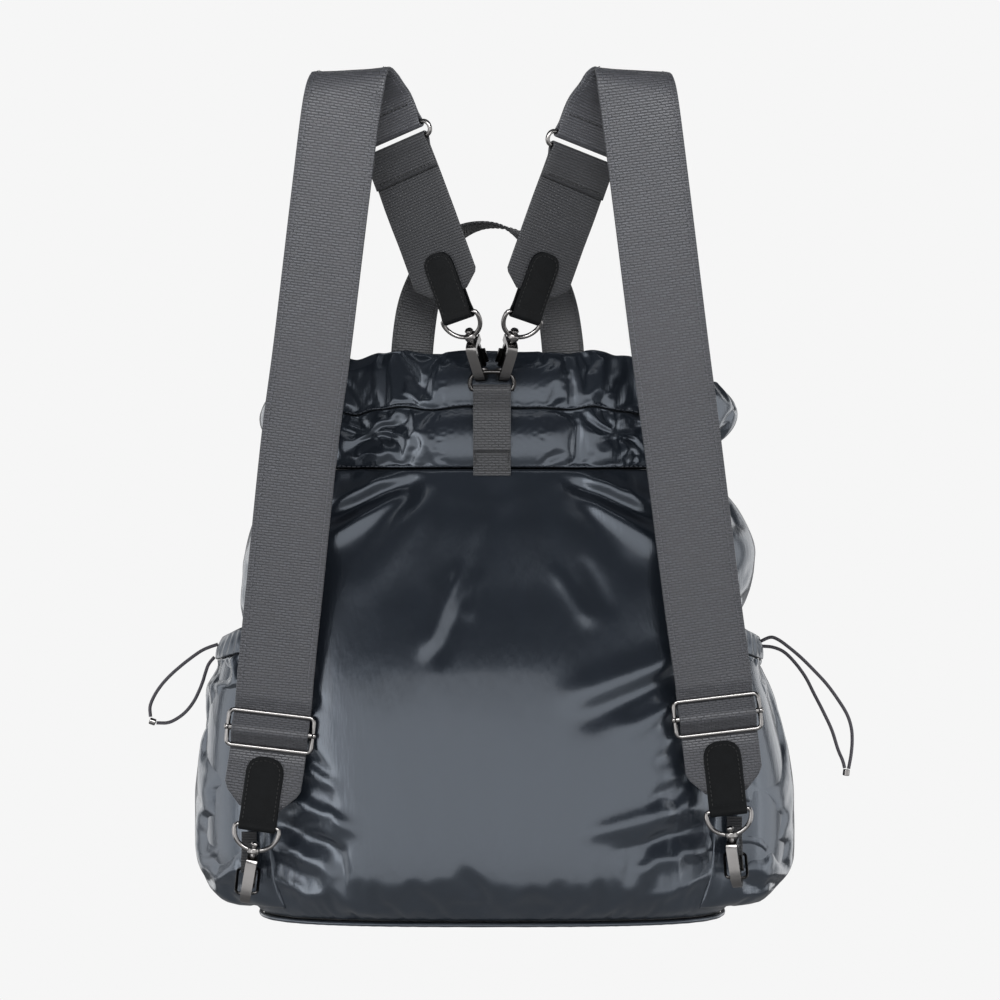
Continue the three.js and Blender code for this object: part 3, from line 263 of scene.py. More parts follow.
# How far the shell's lower edge is let out past the solid at the two ends, and the height over which that fades
CORNER_EASE = 7.0
CORNER_FADE = 22.0
# Cloth runs: the pockets' spare cloth, and how far in millimetres a point of the sack or collar may move
POCKET_SPARE = 0.07
BODY_CAP = 5.0
COLLAR_CAP = 4.5
# Pitches of the sewing on tabs, tape and handle
TAB_PITCH = 2.9
TAPE_PITCH = 2.6
HANDLE_PITCH = 3.1
# Where the shell lies taut under the centre tape: lowest height, height over which it grows taut, half width
TAUT_FROM_Z = -385.0
TAUT_RISE = 60.0
TAUT_HALF_WIDTH = 82.0
# Routes of the pocket cords, from the cuff to the crimp
CORD_ROUTES = {
    "cord_left_upper": [
        (-186.5, 100, -369.2), (-193, 99.6, -371.4), (-198, 99, -373.8), (-204.7, 98, -378.5),
        (-211.5, 97, -383.9), (-218.3, 96, -390), (-224.4, 95, -396.8), (-229, 94, -404), (-231.6, 93, -411),
        (-231.2, 92.3, -417.8),
    ],
    "cord_left_lower": [
        (-188.8, 100.3, -377.8), (-192.6, 99.4, -382.5), (-194.6, 98, -388), (-196.2, 96, -394),
        (-198.8, 95, -400.8), (-202.4, 94, -408), (-207.6, 93, -414.6), (-213.6, 92.6, -419.2),
        (-219.6, 92.4, -421.8), (-227.1, 92.2, -421.9),
    ],
    "cord_right_upper": [
        (182.3, 98, -367), (189, 97, -364.2), (194, 96, -365.8), (200.3, 95, -370.3), (209.2, 94, -377.8),
        (218, 93, -386.6), (226.2, 92, -395.5), (233.6, 91, -405.7), (239.7, 90, -415.8),
        (242.5, 89, -424.7), (243.1, 88.6, -433.5), (242.3, 88.3, -443), (240.55, 88, -452.5),
    ],
    "cord_right_lower": [
        (183.2, 100, -370.4), (191, 99, -371.2), (198.3, 98, -374.4), (205.8, 97, -381.9), (212.6, 96, -391.4),
        (218, 94, -402.3), (224.1, 92, -414.5), (229.6, 90.4, -426.7), (233.6, 89.2, -439.6),
        (236.6, 88.2, -447), (237.9, 88, -452),
    ],
}


def linear(code):
    """The linear colour of an sRGB hex code."""
    values = [int(code[i:i + 2], 16) / 255 for i in (1, 3, 5)]
    return [v / 12.92 if v <= 0.04045 else ((v + 0.055) / 1.055) ** 2.4 for v in values]


def length_of(name, words, value):
    """A length setting in metres."""
    return bpy.props.FloatProperty(name=name, description=words, default=value, unit="LENGTH")


def colour_of(name, words, code):
    """A colour setting from an sRGB hex code."""
    return bpy.props.FloatVectorProperty(name=name, description=words, default=linear(code), subtype="COLOR", size=3)


class ShellSizes(bpy.types.PropertyGroup):
    """How the padded nylon behaves."""

    spare_cloth: bpy.props.FloatProperty(
        name="Spare cloth", description="How much larger the cloth is than the form it is sewn to", default=0.035,
        min=0.0, max=0.2, subtype="FACTOR")
    collar_spare: bpy.props.FloatProperty(
        name="Collar spare cloth", description="Spare cloth gathered into the collar tiers", default=0.03,
        min=0.0, max=0.3, subtype="FACTOR")
    loft: bpy.props.FloatProperty(
        name="Loft", description="Pressure of the wadding under the shell", default=2.2, min=0.0, max=10.0)
    frames: bpy.props.IntProperty(
        name="Settling frames", description="Cloth frames run before the shape is kept", default=22, min=5, max=60)


class HarnessSizes(bpy.types.PropertyGroup):
    """Sizes of the webbing and its sewing."""

    web_width: length_of("Webbing width", "Width of the shoulder webbing", 0.05)
    web_thickness: length_of("Webbing thickness", "Thickness of one layer of webbing", 0.0014)
    stitch_pitch: length_of("Stitch pitch", "Distance from one stitch to the next", 0.0031)
    thread: length_of("Thread", "Thickness of the sewing thread", 0.00055)


class Colours(bpy.types.PropertyGroup):
    """Colours of the pack's materials."""

    shell: colour_of("Shell", "Colour of the nylon shell", "#161b22")
    trim: colour_of("Trim", "Colour of cuffs, base and piping", "#14181e")
    webbing: colour_of("Webbing", "Colour of the shoulder webbing", "#2f3034")
    dark_webbing: colour_of("Dark webbing", "Colour of the rear webbing, tapes and handle", "#1e1f22")
    leather: colour_of("Leather", "Colour of the tabs", "#0a0c0e")
    metal: colour_of("Gunmetal", "Colour of the plated fittings", "#787675")


class StudioSizes(bpy.types.PropertyGroup):
    """Camera and studio."""

    distance: length_of("Camera distance", "From the camera to the origin, along Y", 1.56)
    lens: bpy.props.FloatProperty(
        name="Lens", description="Focal length in millimetres on a 36 mm sensor", default=87.9)
    paper: colour_of("Paper", "Colour of the floor and the backdrop", "#f6f6f6")


def settings():
    """The scene's backpack settings."""
    return bpy.context.scene.backpack


class BackpackSettings(bpy.types.PropertyGroup):
    """All the settings of the pack."""

    shell: bpy.props.PointerProperty(type=ShellSizes, name="Shell", description="Shell sizes")
    harness: bpy.props.PointerProperty(type=HarnessSizes, name="Harness", description="Harness sizes")
    colours: bpy.props.PointerProperty(type=Colours, name="Colours", description="Material colours")
    studio: bpy.props.PointerProperty(type=StudioSizes, name="Studio", description="Camera and studio")


def web_width():
    """Webbing width in millimetres."""
    return settings().harness.web_width / MM


def web_thick():
    """Webbing thickness in millimetres."""
    return settings().harness.web_thickness / MM


# Small vector helpers on arrays whose last axis is x, y, z
def unit(v):
    """Each vector divided by its own length."""
    v = np.asarray(v, float)
    return v / np.maximum(np.linalg.norm(v, axis=-1, keepdims=True), 1e-12)


def smooth(share):
    """Smoothstep: 0 to 1 with level ends."""
    share = np.clip(share, 0, 1)
    return share * share * (3 - 2 * share)


def waves(turn, count, shift=0.0):
    """A sine with a count of waves in a whole turn."""
    return np.sin(turn * 2 * math.pi * count + shift)


def run_of(points):
    """Distance run along a line of points, from 0 at the first."""
    return np.concatenate([[0], np.cumsum(np.linalg.norm(np.diff(points, axis=0), axis=1))])


def away_from(value, low, high, reach):
    """How far a value lies inside two ends, as a share of a reach: 0 at and past the ends, 1 further in."""
    return np.clip(np.minimum(value - low, high - value) / reach, 0, 1)


def read_table(table, at):
    """Values between a table's rows: cubic steps whose slopes are those of the neighbouring rows."""
    rows = np.array(table, float)
    x, y = rows[:, 0], rows[:, 1:]
    slope = np.empty_like(y)
    slope[1:-1] = (y[2:] - y[:-2]) / (x[2:] - x[:-2])[:, None]
    slope[0] = (y[1] - y[0]) / (x[1] - x[0])
    slope[-1] = (y[-1] - y[-2]) / (x[-1] - x[-2])
    at = np.clip(np.asarray(at, float), x[0], x[-1])
    i = np.clip(np.searchsorted(x, at, side="right") - 1, 0, len(x) - 2)
    span = (x[i + 1] - x[i])[..., None]
    t = (at[..., None] - x[i][..., None]) / span
    return (y[i] * (2 * t ** 3 - 3 * t ** 2 + 1) + y[i + 1] * (3 * t ** 2 - 2 * t ** 3)
            + slope[i] * span * (t ** 3 - 2 * t ** 2 + t) + slope[i + 1] * span * (t ** 3 - t ** 2))


# Shell forms
def oval_point(turn, left, right, depth, power, z, offset):
    """A squared ellipse: |x/a|^p + |y/b|^p = 1 at each turn, moved out along its normal by offset."""
    turn, left, right, depth, power, z, offset = np.broadcast_arrays(turn, left, right, depth, power, z, offset)
    angle = turn * 2 * math.pi
    c, s = np.cos(angle), np.sin(angle)
    half = np.where(c < 0, left, right)
    x = half * np.sign(c) * np.abs(c) ** (2 / power)
    y = depth * np.sign(s) * np.abs(s) ** (2 / power)
    nx = np.sign(x) * np.abs(x / half) ** (power - 1) / half
    ny = np.sign(y) * np.abs(y / depth) ** (power - 1) / depth
    length = np.hypot(nx, ny)
    return np.stack([x + nx / length * offset, BAG_CENTER_Y + y + ny / length * offset, z], axis=-1)


def bag_point(turn, z, offset):
    """A point of the sack's wall: the section of its height, less the pleats that fade below the waist."""
    turn, z, offset = np.broadcast_arrays(np.asarray(turn, float), z, offset)
    share = (z - BASE_SEAM_Z) / (WAIST_Z - BASE_SEAM_Z)
    left, right, depth, power = np.moveaxis(read_table(BAG_TABLE, share), -1, 0)
    fade = np.exp(-np.maximum(WAIST_Z - z, 0) / PLEAT_REACH)
    dent = sum(deep * fade * np.exp(-((turn - middle) / half) ** 2) for middle, half, deep in PLEATS)
    return oval_point(turn, left * BAG_HALF_WIDTH, right * BAG_HALF_WIDTH, depth * BAG_HALF_DEPTH, power, z,
                      offset - dent)


def even_turns(count):
    """Turns that lie evenly along the girth of the sack."""
    dense = np.linspace(0, 1, 4001)
    ring = bag_point(dense, -400.0, 0.0)
    run = run_of(ring)
    return np.interp(np.arange(count) / count * run[-1], run, dense)


def side_share(turn):
    """How far a turn lies toward a side: 0 in the middle, 1 at the ear."""
    return np.abs(np.cos(turn * 2 * math.pi)) ** 4


def seam_one(turn):
    """Height of the seam between the collar's tiers: level, dropping at the ears, scalloped by the gathers."""
    scallop = 0.8 * waves(turn, 19) + 0.6 * waves(turn, 31, 2)
    dip = sum(2.6 * np.exp(-((turn - middle) / 0.012) ** 2) for middle, _, _ in KNOTS)
    return WAIST_Z + SEAT_GAP + COLLAR_TIER + 1.5 - EAR_DROP * side_share(turn) + scallop - dip


# Where the drawcord pinches the collar: middle and half width in turns, depth in millimetres
KNOTS = [(0.668, 0.016, 4.0), (0.845, 0.018, 4.0)]


def collar_point(turn, share, tier, inset):
    """A point of a collar tier: low to high seam by share, puffed by a sine, flared at the ears, less the inset."""
    turn, share, inset = np.broadcast_arrays(np.asarray(turn, float), share, inset)
    low = WAIST_Z + SEAT_GAP + 0 * turn if tier == "lower" else seam_one(turn) + SEAT_GAP
    high = seam_one(turn) if tier == "lower" else seam_one(turn) + COLLAR_TIER
    puff = np.sin(math.pi * np.clip(share, 0.04, 0.96)) ** 0.6
    ear = side_share(turn) * np.sin(math.pi * (0.15 + 0.6 * share)) ** 2 if tier == "upper" else 0 * turn
    pinch = sum(deep * np.exp(-((turn - middle) / half) ** 2) for middle, half, deep in KNOTS)
    lean = -5 * share if tier == "upper" else 0 * share
    out = -3 + 6 * puff + lean - pinch * np.where(inset > 0, 0.3, 1.0) - inset
    return oval_point(turn, COLLAR_HALF_WIDTH - 3 + ear * EAR_FLARE_LEFT, COLLAR_HALF_WIDTH + ear * EAR_FLARE_RIGHT,
                      COLLAR_HALF_DEPTH, 2.7, low + (high - low) * share, out)


def pocket_point(side, across, share, offset):
    """A point of a side pocket: the sack's wall there, pushed out by the bulge of its height times an arch."""
    across, share, offset = np.broadcast_arrays(np.asarray(across, float), share, offset)
    reach = math.asin(POCKET_SPAN) / (2 * math.pi)
    swing = -reach + 2 * reach * across
    turn = (swing + 1) % 1 if side > 0 else 0.5 - swing
    arch = np.abs(np.sin(math.pi * across)) ** 1.15
    top = POCKET_TOP_Z - MOUTH_DIP * np.sin(math.pi * across) ** 2
    z = POCKET_BOTTOM_Z + (top - POCKET_BOTTOM_Z) * share
    right, left = np.moveaxis(read_table(POCKET_TABLE, share), -1, 0)
    bulge = right * BULGE_RIGHT if side > 0 else left * BULGE_LEFT
    return bag_point(turn, z, SEAT_GAP + np.maximum(bulge * arch, 0) + offset)


def fold_field(x, z):
    """Height of the listed folds: a bell across each fold's line that fades in and out along it."""
    field = np.zeros_like(x)
    for x0, z0, x1, z1, width, height in FOLDS:
        dx, dz = x1 - x0, z1 - z0
        length = math.hypot(dx, dz)
        along = ((x - x0) * dx + (z - z0) * dz) / length ** 2
        off = ((x - x0) * dz - (z - z0) * dx) / length
        taper = smooth(away_from(along, -0.12, 1.25, 0.35))
        thin = width * (0.6 + 0.5 * np.clip(along, 0, 1))
        field += height * np.exp(-(off / thin) ** 2) * taper
    return field


def knot_field(x, z):
    """Gathers round each knot: a swirling sine of the angle under a bell of the radius, a crease across its middle
    and a bulge below it."""
    field = np.zeros_like(x)
    for number, (cx, cz) in enumerate(KNOT_PLACES):
        dx, dz = x - cx, z - cz
        radius, angle = np.hypot(dx, dz), np.arctan2(dz, dx)
        bell = (radius / 11) * np.exp(1 - radius / 11) * np.exp(-(radius / 30) ** 4)
        field += 1.5 * bell * np.sin(5 * angle + 2.2 * np.sin(2 * angle + number) + radius / 8)
        field += 2.6 * np.exp(-(dx / 15) ** 2 - ((dz + 15) / 7) ** 2)
        field -= 2.4 * np.exp(-(dx / 17) ** 2 - ((dz + 4) / 3) ** 2)
    return field


def corner_ease(turn, z):
    """How far the shell is let out at the two lower ends: most at the sides, fading upwards."""
    return CORNER_EASE * np.abs(np.cos(turn * 2 * math.pi)) ** 3 * np.exp(-np.maximum(z - BASE_SEAM_Z, 0) / CORNER_FADE)


def soft_noise(points, step, seed):
    """Smooth noise from -1 to 1: a sum of twelve seeded plane waves whose lengths lie round step."""
    rng = np.random.default_rng(seed)
    total = np.zeros(points.shape[:-1])
    for _ in range(12):
        wave = unit(rng.normal(size=3)) * 2 * math.pi / (step * rng.uniform(0.6, 1.6))
        total += np.sin(points @ wave + rng.uniform(0, 2 * math.pi))
    return total / 4.5


# Mesh makers
def place_mesh(name, mesh):
    """An object for a mesh, smooth all over, put in the scene."""
    mesh.polygons.foreach_set("use_smooth", np.ones(len(mesh.polygons), bool))
    made = bpy.data.objects.new(name, mesh)
    bpy.context.scene.collection.objects.link(made)
    return made


def map_cloth(mesh, uv):
    """Sets the mesh's cloth map from one pair for each vertex."""
    corner = np.empty(len(mesh.loops), np.int32)
    mesh.loops.foreach_get("vertex_index", corner)
    layer = mesh.uv_layers.get("cloth") or mesh.uv_layers.new(name="cloth")
    layer.data.foreach_set("uv", uv[corner].astype(np.float32).ravel())


def vertex_places(mesh):
    """A mesh's vertices as rows of x, y, z, in metres."""
    places = np.empty(len(mesh.vertices) * 3, np.float32)
    mesh.vertices.foreach_get("co", places)
    return places.reshape(-1, 3).astype(float)


def lay_surface(name, points, wrap_u=False, wrap_v=False, caps=False, uv=None):
    """A mesh from a grid of points in millimetres: a quad between each four neighbours, wrapped where asked,
    with flat caps on the ends of an open tube. uv holds one pair for each point."""
    rows, columns = points.shape[:2]
    i = np.arange(rows if wrap_u else rows - 1)
    j = np.arange(columns if wrap_v else columns - 1)
    a, b = np.meshgrid(i, j, indexing="ij")
    an, bn = (a + 1) % rows, (b + 1) % columns
    quads = np.stack([a * columns + b, an * columns + b, an * columns + bn, a * columns + bn], axis=-1)
    faces = quads.reshape(-1, 4).tolist()
    if caps:
        faces.append(list(range(columns)))
        faces.append([(rows - 1) * columns + k for k in range(columns)][::-1])
    mesh = bpy.data.meshes.new(name)
    mesh.from_pydata((points.reshape(-1, 3) * MM).tolist(), [], faces)
    if uv is not None:
        map_cloth(mesh, uv.reshape(-1, 2) * MM)
    mesh.update()
    return place_mesh(name, mesh)


def face_out(piece):
    """Turns every face of a closed mesh outwards."""
    net = bmesh.new()
    net.from_mesh(piece.data)
    bmesh.ops.recalc_face_normals(net, faces=net.faces)
    net.to_mesh(piece.data)
    net.free()
    return piece


# Finishes that the harness softbox lights
HARNESS_SLOTS = ("webbing", "dark_webbing", "gunmetal", "black_metal")


def finish_piece(piece, material, body, slot, replaced=(), subdivide=0):
    """Turns a piece's faces outwards, subdivides it where it needs that, and dresses it."""
    face_out(piece)
    if subdivide:
        rounding = piece.modifiers.new("smooth", "SUBSURF")
        rounding.levels = rounding.render_levels = subdivide
    return dress(piece, material, body, slot, replaced)


def dress(piece, material, body, slot, replaced):
    """Gives a piece its material and body, adds it to the harness-lit collection when its slot is a harness slot, and
    hides the replaced nodes.
    """
    piece.data.materials.clear()
    piece.data.materials.append(material)
    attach(piece, body)
    if slot in HARNESS_SLOTS:
        bpy.data.collections["harness_lit"].objects.link(piece)
    if replaced:
        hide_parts(*replaced)
    return piece


def sweep(name, points, across, profile, closed=False):
    """A profile carried along a path: each point plus profile sideways times across plus profile depth times
    the normal. UV is the sideways place and the distance run."""
    step = np.roll(points, -1, axis=0) - np.roll(points, 1, axis=0)
    if not closed:
        step[0], step[-1] = points[1] - points[0], points[-1] - points[-2]
    run = unit(step)
    side = unit(across - run * np.sum(across * run, axis=1, keepdims=True))
    face = np.cross(side, run)
    if profile.ndim == 2:
        profile = np.broadcast_to(profile, (len(points),) + profile.shape)
    grid = points[:, None] + profile[..., :1] * side[:, None] + profile[..., 1:] * face[:, None]
    uv = np.stack([profile[..., 0], np.broadcast_to(run_of(points)[:, None], profile.shape[:2])], axis=-1)
    return lay_surface(name, grid, wrap_u=closed, wrap_v=True, caps=not closed, uv=uv)


def strip_profile(half, thick, edge_points=5, flat_points=9, bead=0.12):
    """Section of woven webbing: flat faces, round edges and a slight bead along each selvage.
    half may be an array with one value for each station."""
    half = np.atleast_1d(np.asarray(half, float))
    radius = thick / 2
    angle = np.linspace(math.pi / 2, -math.pi / 2, edge_points)
    edge = np.stack([radius * np.cos(angle), radius * np.sin(angle)], axis=-1)
    flat = np.linspace(1, -1, flat_points)[1:-1]
    swell = bead * np.exp(-((1 - np.abs(flat)) / 0.1) ** 2)
    sections = []
    for width in half:
        inner = width - radius
        right = edge + [inner, 0]
        under = np.stack([flat * inner, -radius - swell], axis=-1)
        left = edge[::-1] * [-1, 1] + [-inner, 0]
        over = np.stack([-flat * inner, radius + swell], axis=-1)
        sections.append(np.concatenate([right, under, left, over]))
    return np.array(sections) if len(sections) > 1 else sections[0]


def round_profile(radius, count=12):
    """A circle of count points."""
    angle = np.arange(count) / count * 2 * math.pi
    return np.stack([radius * np.cos(angle), -radius * np.sin(angle)], axis=-1)


def smooth_path(points, spacing):
    """A cubic through the points, resampled at about the spacing."""
    points = np.asarray(points, float)
    run = np.concatenate([[0], np.cumsum(np.linalg.norm(np.diff(points, axis=0), axis=1) ** 0.5)])
    count = max(int(np.linalg.norm(np.diff(points, axis=0), axis=1).sum() / spacing), 4)
    table = np.concatenate([run[:, None], points], axis=1)
    return read_table(table, np.linspace(0, run[-1], count + 1))


def sew(name, centers, along, normal, length, radius, material, body, slot):
    """Stitches: a six-sided capsule of thread laid at each centre along its direction, sunk to half its depth."""
    centers, along, normal = np.asarray(centers), unit(along), unit(normal)
    side = unit(np.cross(along, normal))
    up = np.cross(side, along)
    ends = np.array([(-0.5, 0.35), (-0.32, 1.0), (0.32, 1.0), (0.5, 0.35)])
    angle = np.arange(6) / 6 * 2 * math.pi
    local = np.stack([np.broadcast_to(ends[:, :1] * length, (4, 6)),
                      ends[:, 1:] * radius * np.cos(angle), ends[:, 1:] * radius * np.sin(angle)], axis=-1)
    grid = (centers[:, None, None] + local[None, ..., :1] * along[:, None, None]
            + local[None, ..., 1:2] * side[:, None, None] + local[None, ..., 2:] * up[:, None, None])
    first = np.arange(len(centers))[:, None, None] * 24
    ring, k = np.meshgrid(np.arange(3) * 6, np.arange(6), indexing="ij")
    ahead = (k + 1) % 6
    quads = np.stack([ring + k, ring + ahead, ring + 6 + ahead, ring + 6 + k], axis=-1).reshape(1, -1, 4) + first
    lids = np.array([[5, 4, 3, 2, 1, 0], [18, 19, 20, 21, 22, 23]])[None] + first
    mesh = bpy.data.meshes.new(name)
    mesh.from_pydata((grid.reshape(-1, 3) * MM).tolist(), [],
                     quads.reshape(-1, 4).tolist() + lids.reshape(-1, 6).tolist())
    return finish_piece(place_mesh(name, mesh), material, body, slot)


def stitch_run(points, normals, pitch):
    """Places, directions and normals of stitches along a line: evenly spaced, each as long as most of a pitch."""
    points, normals = np.asarray(points, float), np.asarray(normals, float)
    run = run_of(points)
    count = max(int(run[-1] / pitch), 1)
    at = (np.arange(count) + 0.5) / count * run[-1]

    def between(places, values):
        return np.stack([np.interp(places, run, values[:, k]) for k in range(3)], axis=-1)
    return between(at, points), unit(between(at + 0.5, points) - between(at - 0.5, points)), unit(between(at, normals))


def several_runs(rows, pitch):
    """Stitches of several rows, each a pair of points and normals, put together."""
    return (np.concatenate(parts) for parts in zip(*(stitch_run(*row, pitch) for row in rows)))


# How the light nylon resists stretch, squeeze, shear and air
NYLON_CLOTH = {"quality": 6, "mass": 0.12, "tension_stiffness": 18, "compression_stiffness": 14, "shear_stiffness": 6,
               "air_damping": 4, "vertex_group_mass": "held", "pin_stiffness": 1.0, "use_pressure": True}


def settle(name, points, hold, spare, pressure, cap, wrap_u, bend=0.4):
    """Cloth run on a closed padded form: its net grows by the spare cloth, the wadding presses it out, the
    held points stay. Returns the points, none moved by more than the cap."""
    pattern = face_out(lay_surface(name + "_pattern", points, wrap_u=wrap_u, wrap_v=True, caps=not wrap_u))
    group = pattern.vertex_groups.new(name="held")
    weights = np.round(hold.reshape(-1), 2)
    for value in np.unique(weights):
        if value > 0:
            group.add(np.nonzero(weights == value)[0].tolist(), float(value), "REPLACE")
    cloth = pattern.modifiers.new("cloth", "CLOTH")
    for name, value in {**NYLON_CLOTH, "bending_stiffness": bend, "shrink_min": -spare,
                        "uniform_pressure_force": pressure}.items():
        setattr(cloth.settings, name, value)
    cloth.settings.effector_weights.gravity = 0
    cloth.collision_settings.use_self_collision = False
    cloth.collision_settings.use_collision = False
    for number in range(1, settings().shell.frames + 1):
        bpy.context.scene.frame_set(number)
    moved = vertex_places(pattern.evaluated_get(bpy.context.evaluated_depsgraph_get()).data)
    bpy.context.scene.frame_set(1)
    bpy.data.objects.remove(pattern)
    shift = moved.reshape(points.shape) / MM - points
    length = np.linalg.norm(shift, axis=-1, keepdims=True)
    return points + shift * np.minimum(1, cap / np.maximum(length, 1e-9))


# Materials
def add_node(tree, kind, values=None, links=None, **attributes):
    """Adds a node with its attributes, its socket values and the links into it; gives the node back."""
    made = tree.nodes.new(kind)
    for name, value in attributes.items():
        setattr(made, name, value)
    for socket, value in (values or {}).items():
        made.inputs[socket].default_value = value
    for socket, source in (links or {}).items():
        tree.links.new(source, made.inputs[socket])
    return made


def new_finish(name, base, roughness, bump=None, tint=None, **sockets):
    """A Principled material. base is linear colour; tint is (tree → colour output) and bump (tree → normal output);
    the sockets are set on the shader itself."""
    material = bpy.data.materials.new(name)
    material.use_nodes = True
    tree = material.node_tree
    tree.nodes.clear()
    shader = add_node(tree, "ShaderNodeBsdfPrincipled", {"Base Color": (*base, 1), "Roughness": roughness})
    for socket, value in sockets.items():
        shader.inputs[socket.replace("_", " ")].default_value = value
    if tint:
        tree.links.new(tint(tree), shader.inputs["Base Color"])
    if bump:
        tree.links.new(bump(tree), shader.inputs["Normal"])
    add_node(tree, "ShaderNodeOutputMaterial", links={"Surface": shader.outputs[0]})
    material.diffuse_color = (*base, 1)
    return material


def place_of(tree, scale, source="Object"):
    """Object coordinates, or the piece's own UV, stretched by a scale along each axis."""
    coordinates = add_node(tree, "ShaderNodeTexCoord")
    return add_node(tree, "ShaderNodeMapping", {"Scale": scale}, {"Vector": coordinates.outputs[source]}).outputs[0]


def noise(tree, scale, detail=3.0, source="Object", rough=0.5):
    """Noise whose grain along each axis is one over the scale, in metres."""
    return add_node(tree, "ShaderNodeTexNoise", {"Scale": 1.0, "Detail": detail, "Roughness": rough},
                    {"Vector": place_of(tree, scale, source)}).outputs[0]


def raise_by(tree, height, distance, below=None):
    """Bump of a height over a distance in metres, laid over another bump where one is given."""
    links = {"Height": height}
    if below is not None:
        links["Normal"] = below
    return add_node(tree, "ShaderNodeBump", {"Strength": 1.0, "Distance": distance}, links).outputs[0]


def vary(tree, low, high, factor):
    """A colour between two, by a factor."""
    ramp = add_node(tree, "ShaderNodeValToRGB", links={"Fac": factor})
    ramp.color_ramp.elements[0].position, ramp.color_ramp.elements[1].position = 0.3, 0.7
    ramp.color_ramp.elements[0].color, ramp.color_ramp.elements[1].color = (*low, 1), (*high, 1)
    return ramp.outputs[0]


def scaled(colour, share):
    """A linear colour made lighter or darker."""
    return [min(c * share, 1.0) for c in colour]


def nylon_finish(name, base, roughness, crinkle):
    """Calendered nylon taffeta, pressed between hot rollers: a wet-looking sheen with fine crinkles along the warp,
    1.2 mm apart and 10 mm long, over broader ones of 4 mm, and faint dents of 30 mm from the wadding."""
    def bump(tree):
        dents = raise_by(tree, noise(tree, (33, 33, 20), 2.0), 0.0006 * crinkle)
        broad = raise_by(tree, noise(tree, (240, 240, 60), 2.0), 0.00018 * crinkle, dents)
        streaks = raise_by(tree, noise(tree, (820, 820, 100), 2.0), 0.0001 * crinkle, broad)
        return raise_by(tree, noise(tree, (2200, 2200, 2200), 1.0), 0.000008, streaks)

    def tint(tree):
        return vary(tree, scaled(base, 0.88), scaled(base, 1.12), noise(tree, (60, 60, 14), 3.0))
    return new_finish(name, base, roughness, bump, tint, Specular_IOR_Level=0.95, Coat_Weight=0.3,
                      Coat_Roughness=0.12, Sheen_Weight=0.04, Sheen_Roughness=0.4, Specular_Tint=(0.76, 0.86, 1.0, 1.0))


def web_finish(name, base, rough=0.5):
    """Polyester webbing, woven flat on a needle loom: floats 4.6 mm wide lie brick-fashion in rows 1.7 mm apart.
    The rows are drawn a little coarser than the real 1.3 mm so that they show."""
    def weave(tree):
        floats = add_node(tree, "ShaderNodeTexBrick", {"Color1": (0.62, 0.62, 0.62, 1), "Color2": (1, 1, 1, 1),
                                                       "Mortar": (0, 0, 0, 1), "Scale": 1000.0, "Brick Width": 4.6,
                                                       "Row Height": 1.75, "Mortar Size": 0.42, "Mortar Smooth": 1.0},
                          {"Vector": place_of(tree, (1, 1, 1), "UV")})
        return floats.outputs["Color"]

    def bump(tree):
        return raise_by(tree, weave(tree), 0.00028, raise_by(tree, noise(tree, (18, 18, 18)), 0.0007))

    def tint(tree):
        ramp = add_node(tree, "ShaderNodeValToRGB", links={"Fac": weave(tree)})
        ramp.color_ramp.elements[0].color = (*scaled(base, 0.42), 1)
        ramp.color_ramp.elements[1].color = (*scaled(base, 1.25), 1)
        return ramp.outputs[0]
    return new_finish(name, base, rough, bump, tint, Specular_IOR_Level=0.4, Sheen_Weight=0.08, Sheen_Roughness=0.35)


def leather_finish(name, base):
    """Coated split leather, embossed with a hair-cell grain of about 1 mm: matt, with a faint polish on the crests."""
    def bump(tree):
        cells = add_node(tree, "ShaderNodeTexVoronoi", {"Scale": 1.0}, {"Vector": place_of(tree, (900, 900, 900))},
                         feature="DISTANCE_TO_EDGE")
        return raise_by(tree, cells.outputs[0], 0.00012, raise_by(tree, noise(tree, (120, 120, 120)), 0.0003))

    def tint(tree):
        return vary(tree, scaled(base, 0.8), scaled(base, 1.25), noise(tree, (150, 150, 150), 4.0))
    return new_finish(name, base, 0.62, bump, tint, Specular_IOR_Level=0.16)


def metal_finish(name, base, roughness):
    """Zinc casting, tumbled and plated: a dark mirror with fine wear where the plating thins."""
    def bump(tree):
        return raise_by(tree, noise(tree, (160, 160, 160), 2.0), 0.00004)

    def tint(tree):
        return vary(tree, scaled(base, 0.94), scaled(base, 1.05), noise(tree, (120, 120, 120), 3.0))
    return new_finish(name, base, roughness, bump, tint, Metallic=1.0)


def cord_finish(name, base):
    """Braided polyester shock cord: two sets of strands 1.1 mm wide that cross over an elastic core."""
    def braid(tree):
        one = add_node(tree, "ShaderNodeTexWave", {"Scale": 1.0},
                       {"Vector": place_of(tree, (300, 300, 0), "UV")}, bands_direction="DIAGONAL")
        two = add_node(tree, "ShaderNodeTexWave", {"Scale": 1.0},
                       {"Vector": place_of(tree, (-300, 300, 0), "UV")}, bands_direction="DIAGONAL")
        return add_node(tree, "ShaderNodeMath", operation="MAXIMUM",
                        links={0: one.outputs[1], 1: two.outputs[1]}).outputs[0]
    return new_finish(name, base, 0.75, lambda tree: raise_by(tree, braid(tree), 0.0002),
                      lambda tree: vary(tree, scaled(base, 0.75), scaled(base, 1.1), braid(tree)), Sheen_Weight=0.15)


def thread_finish(name, base):
    """Bonded polyester thread: three twisted plies, slightly shiny."""
    return new_finish(name, base, 0.5, lambda tree: raise_by(tree, noise(tree, (2500, 2500, 2500), 1.0), 0.0001),
                      lambda tree: vary(tree, scaled(base, 0.7), scaled(base, 1.3), noise(tree, (900, 900, 900))))


FINISHES = {}


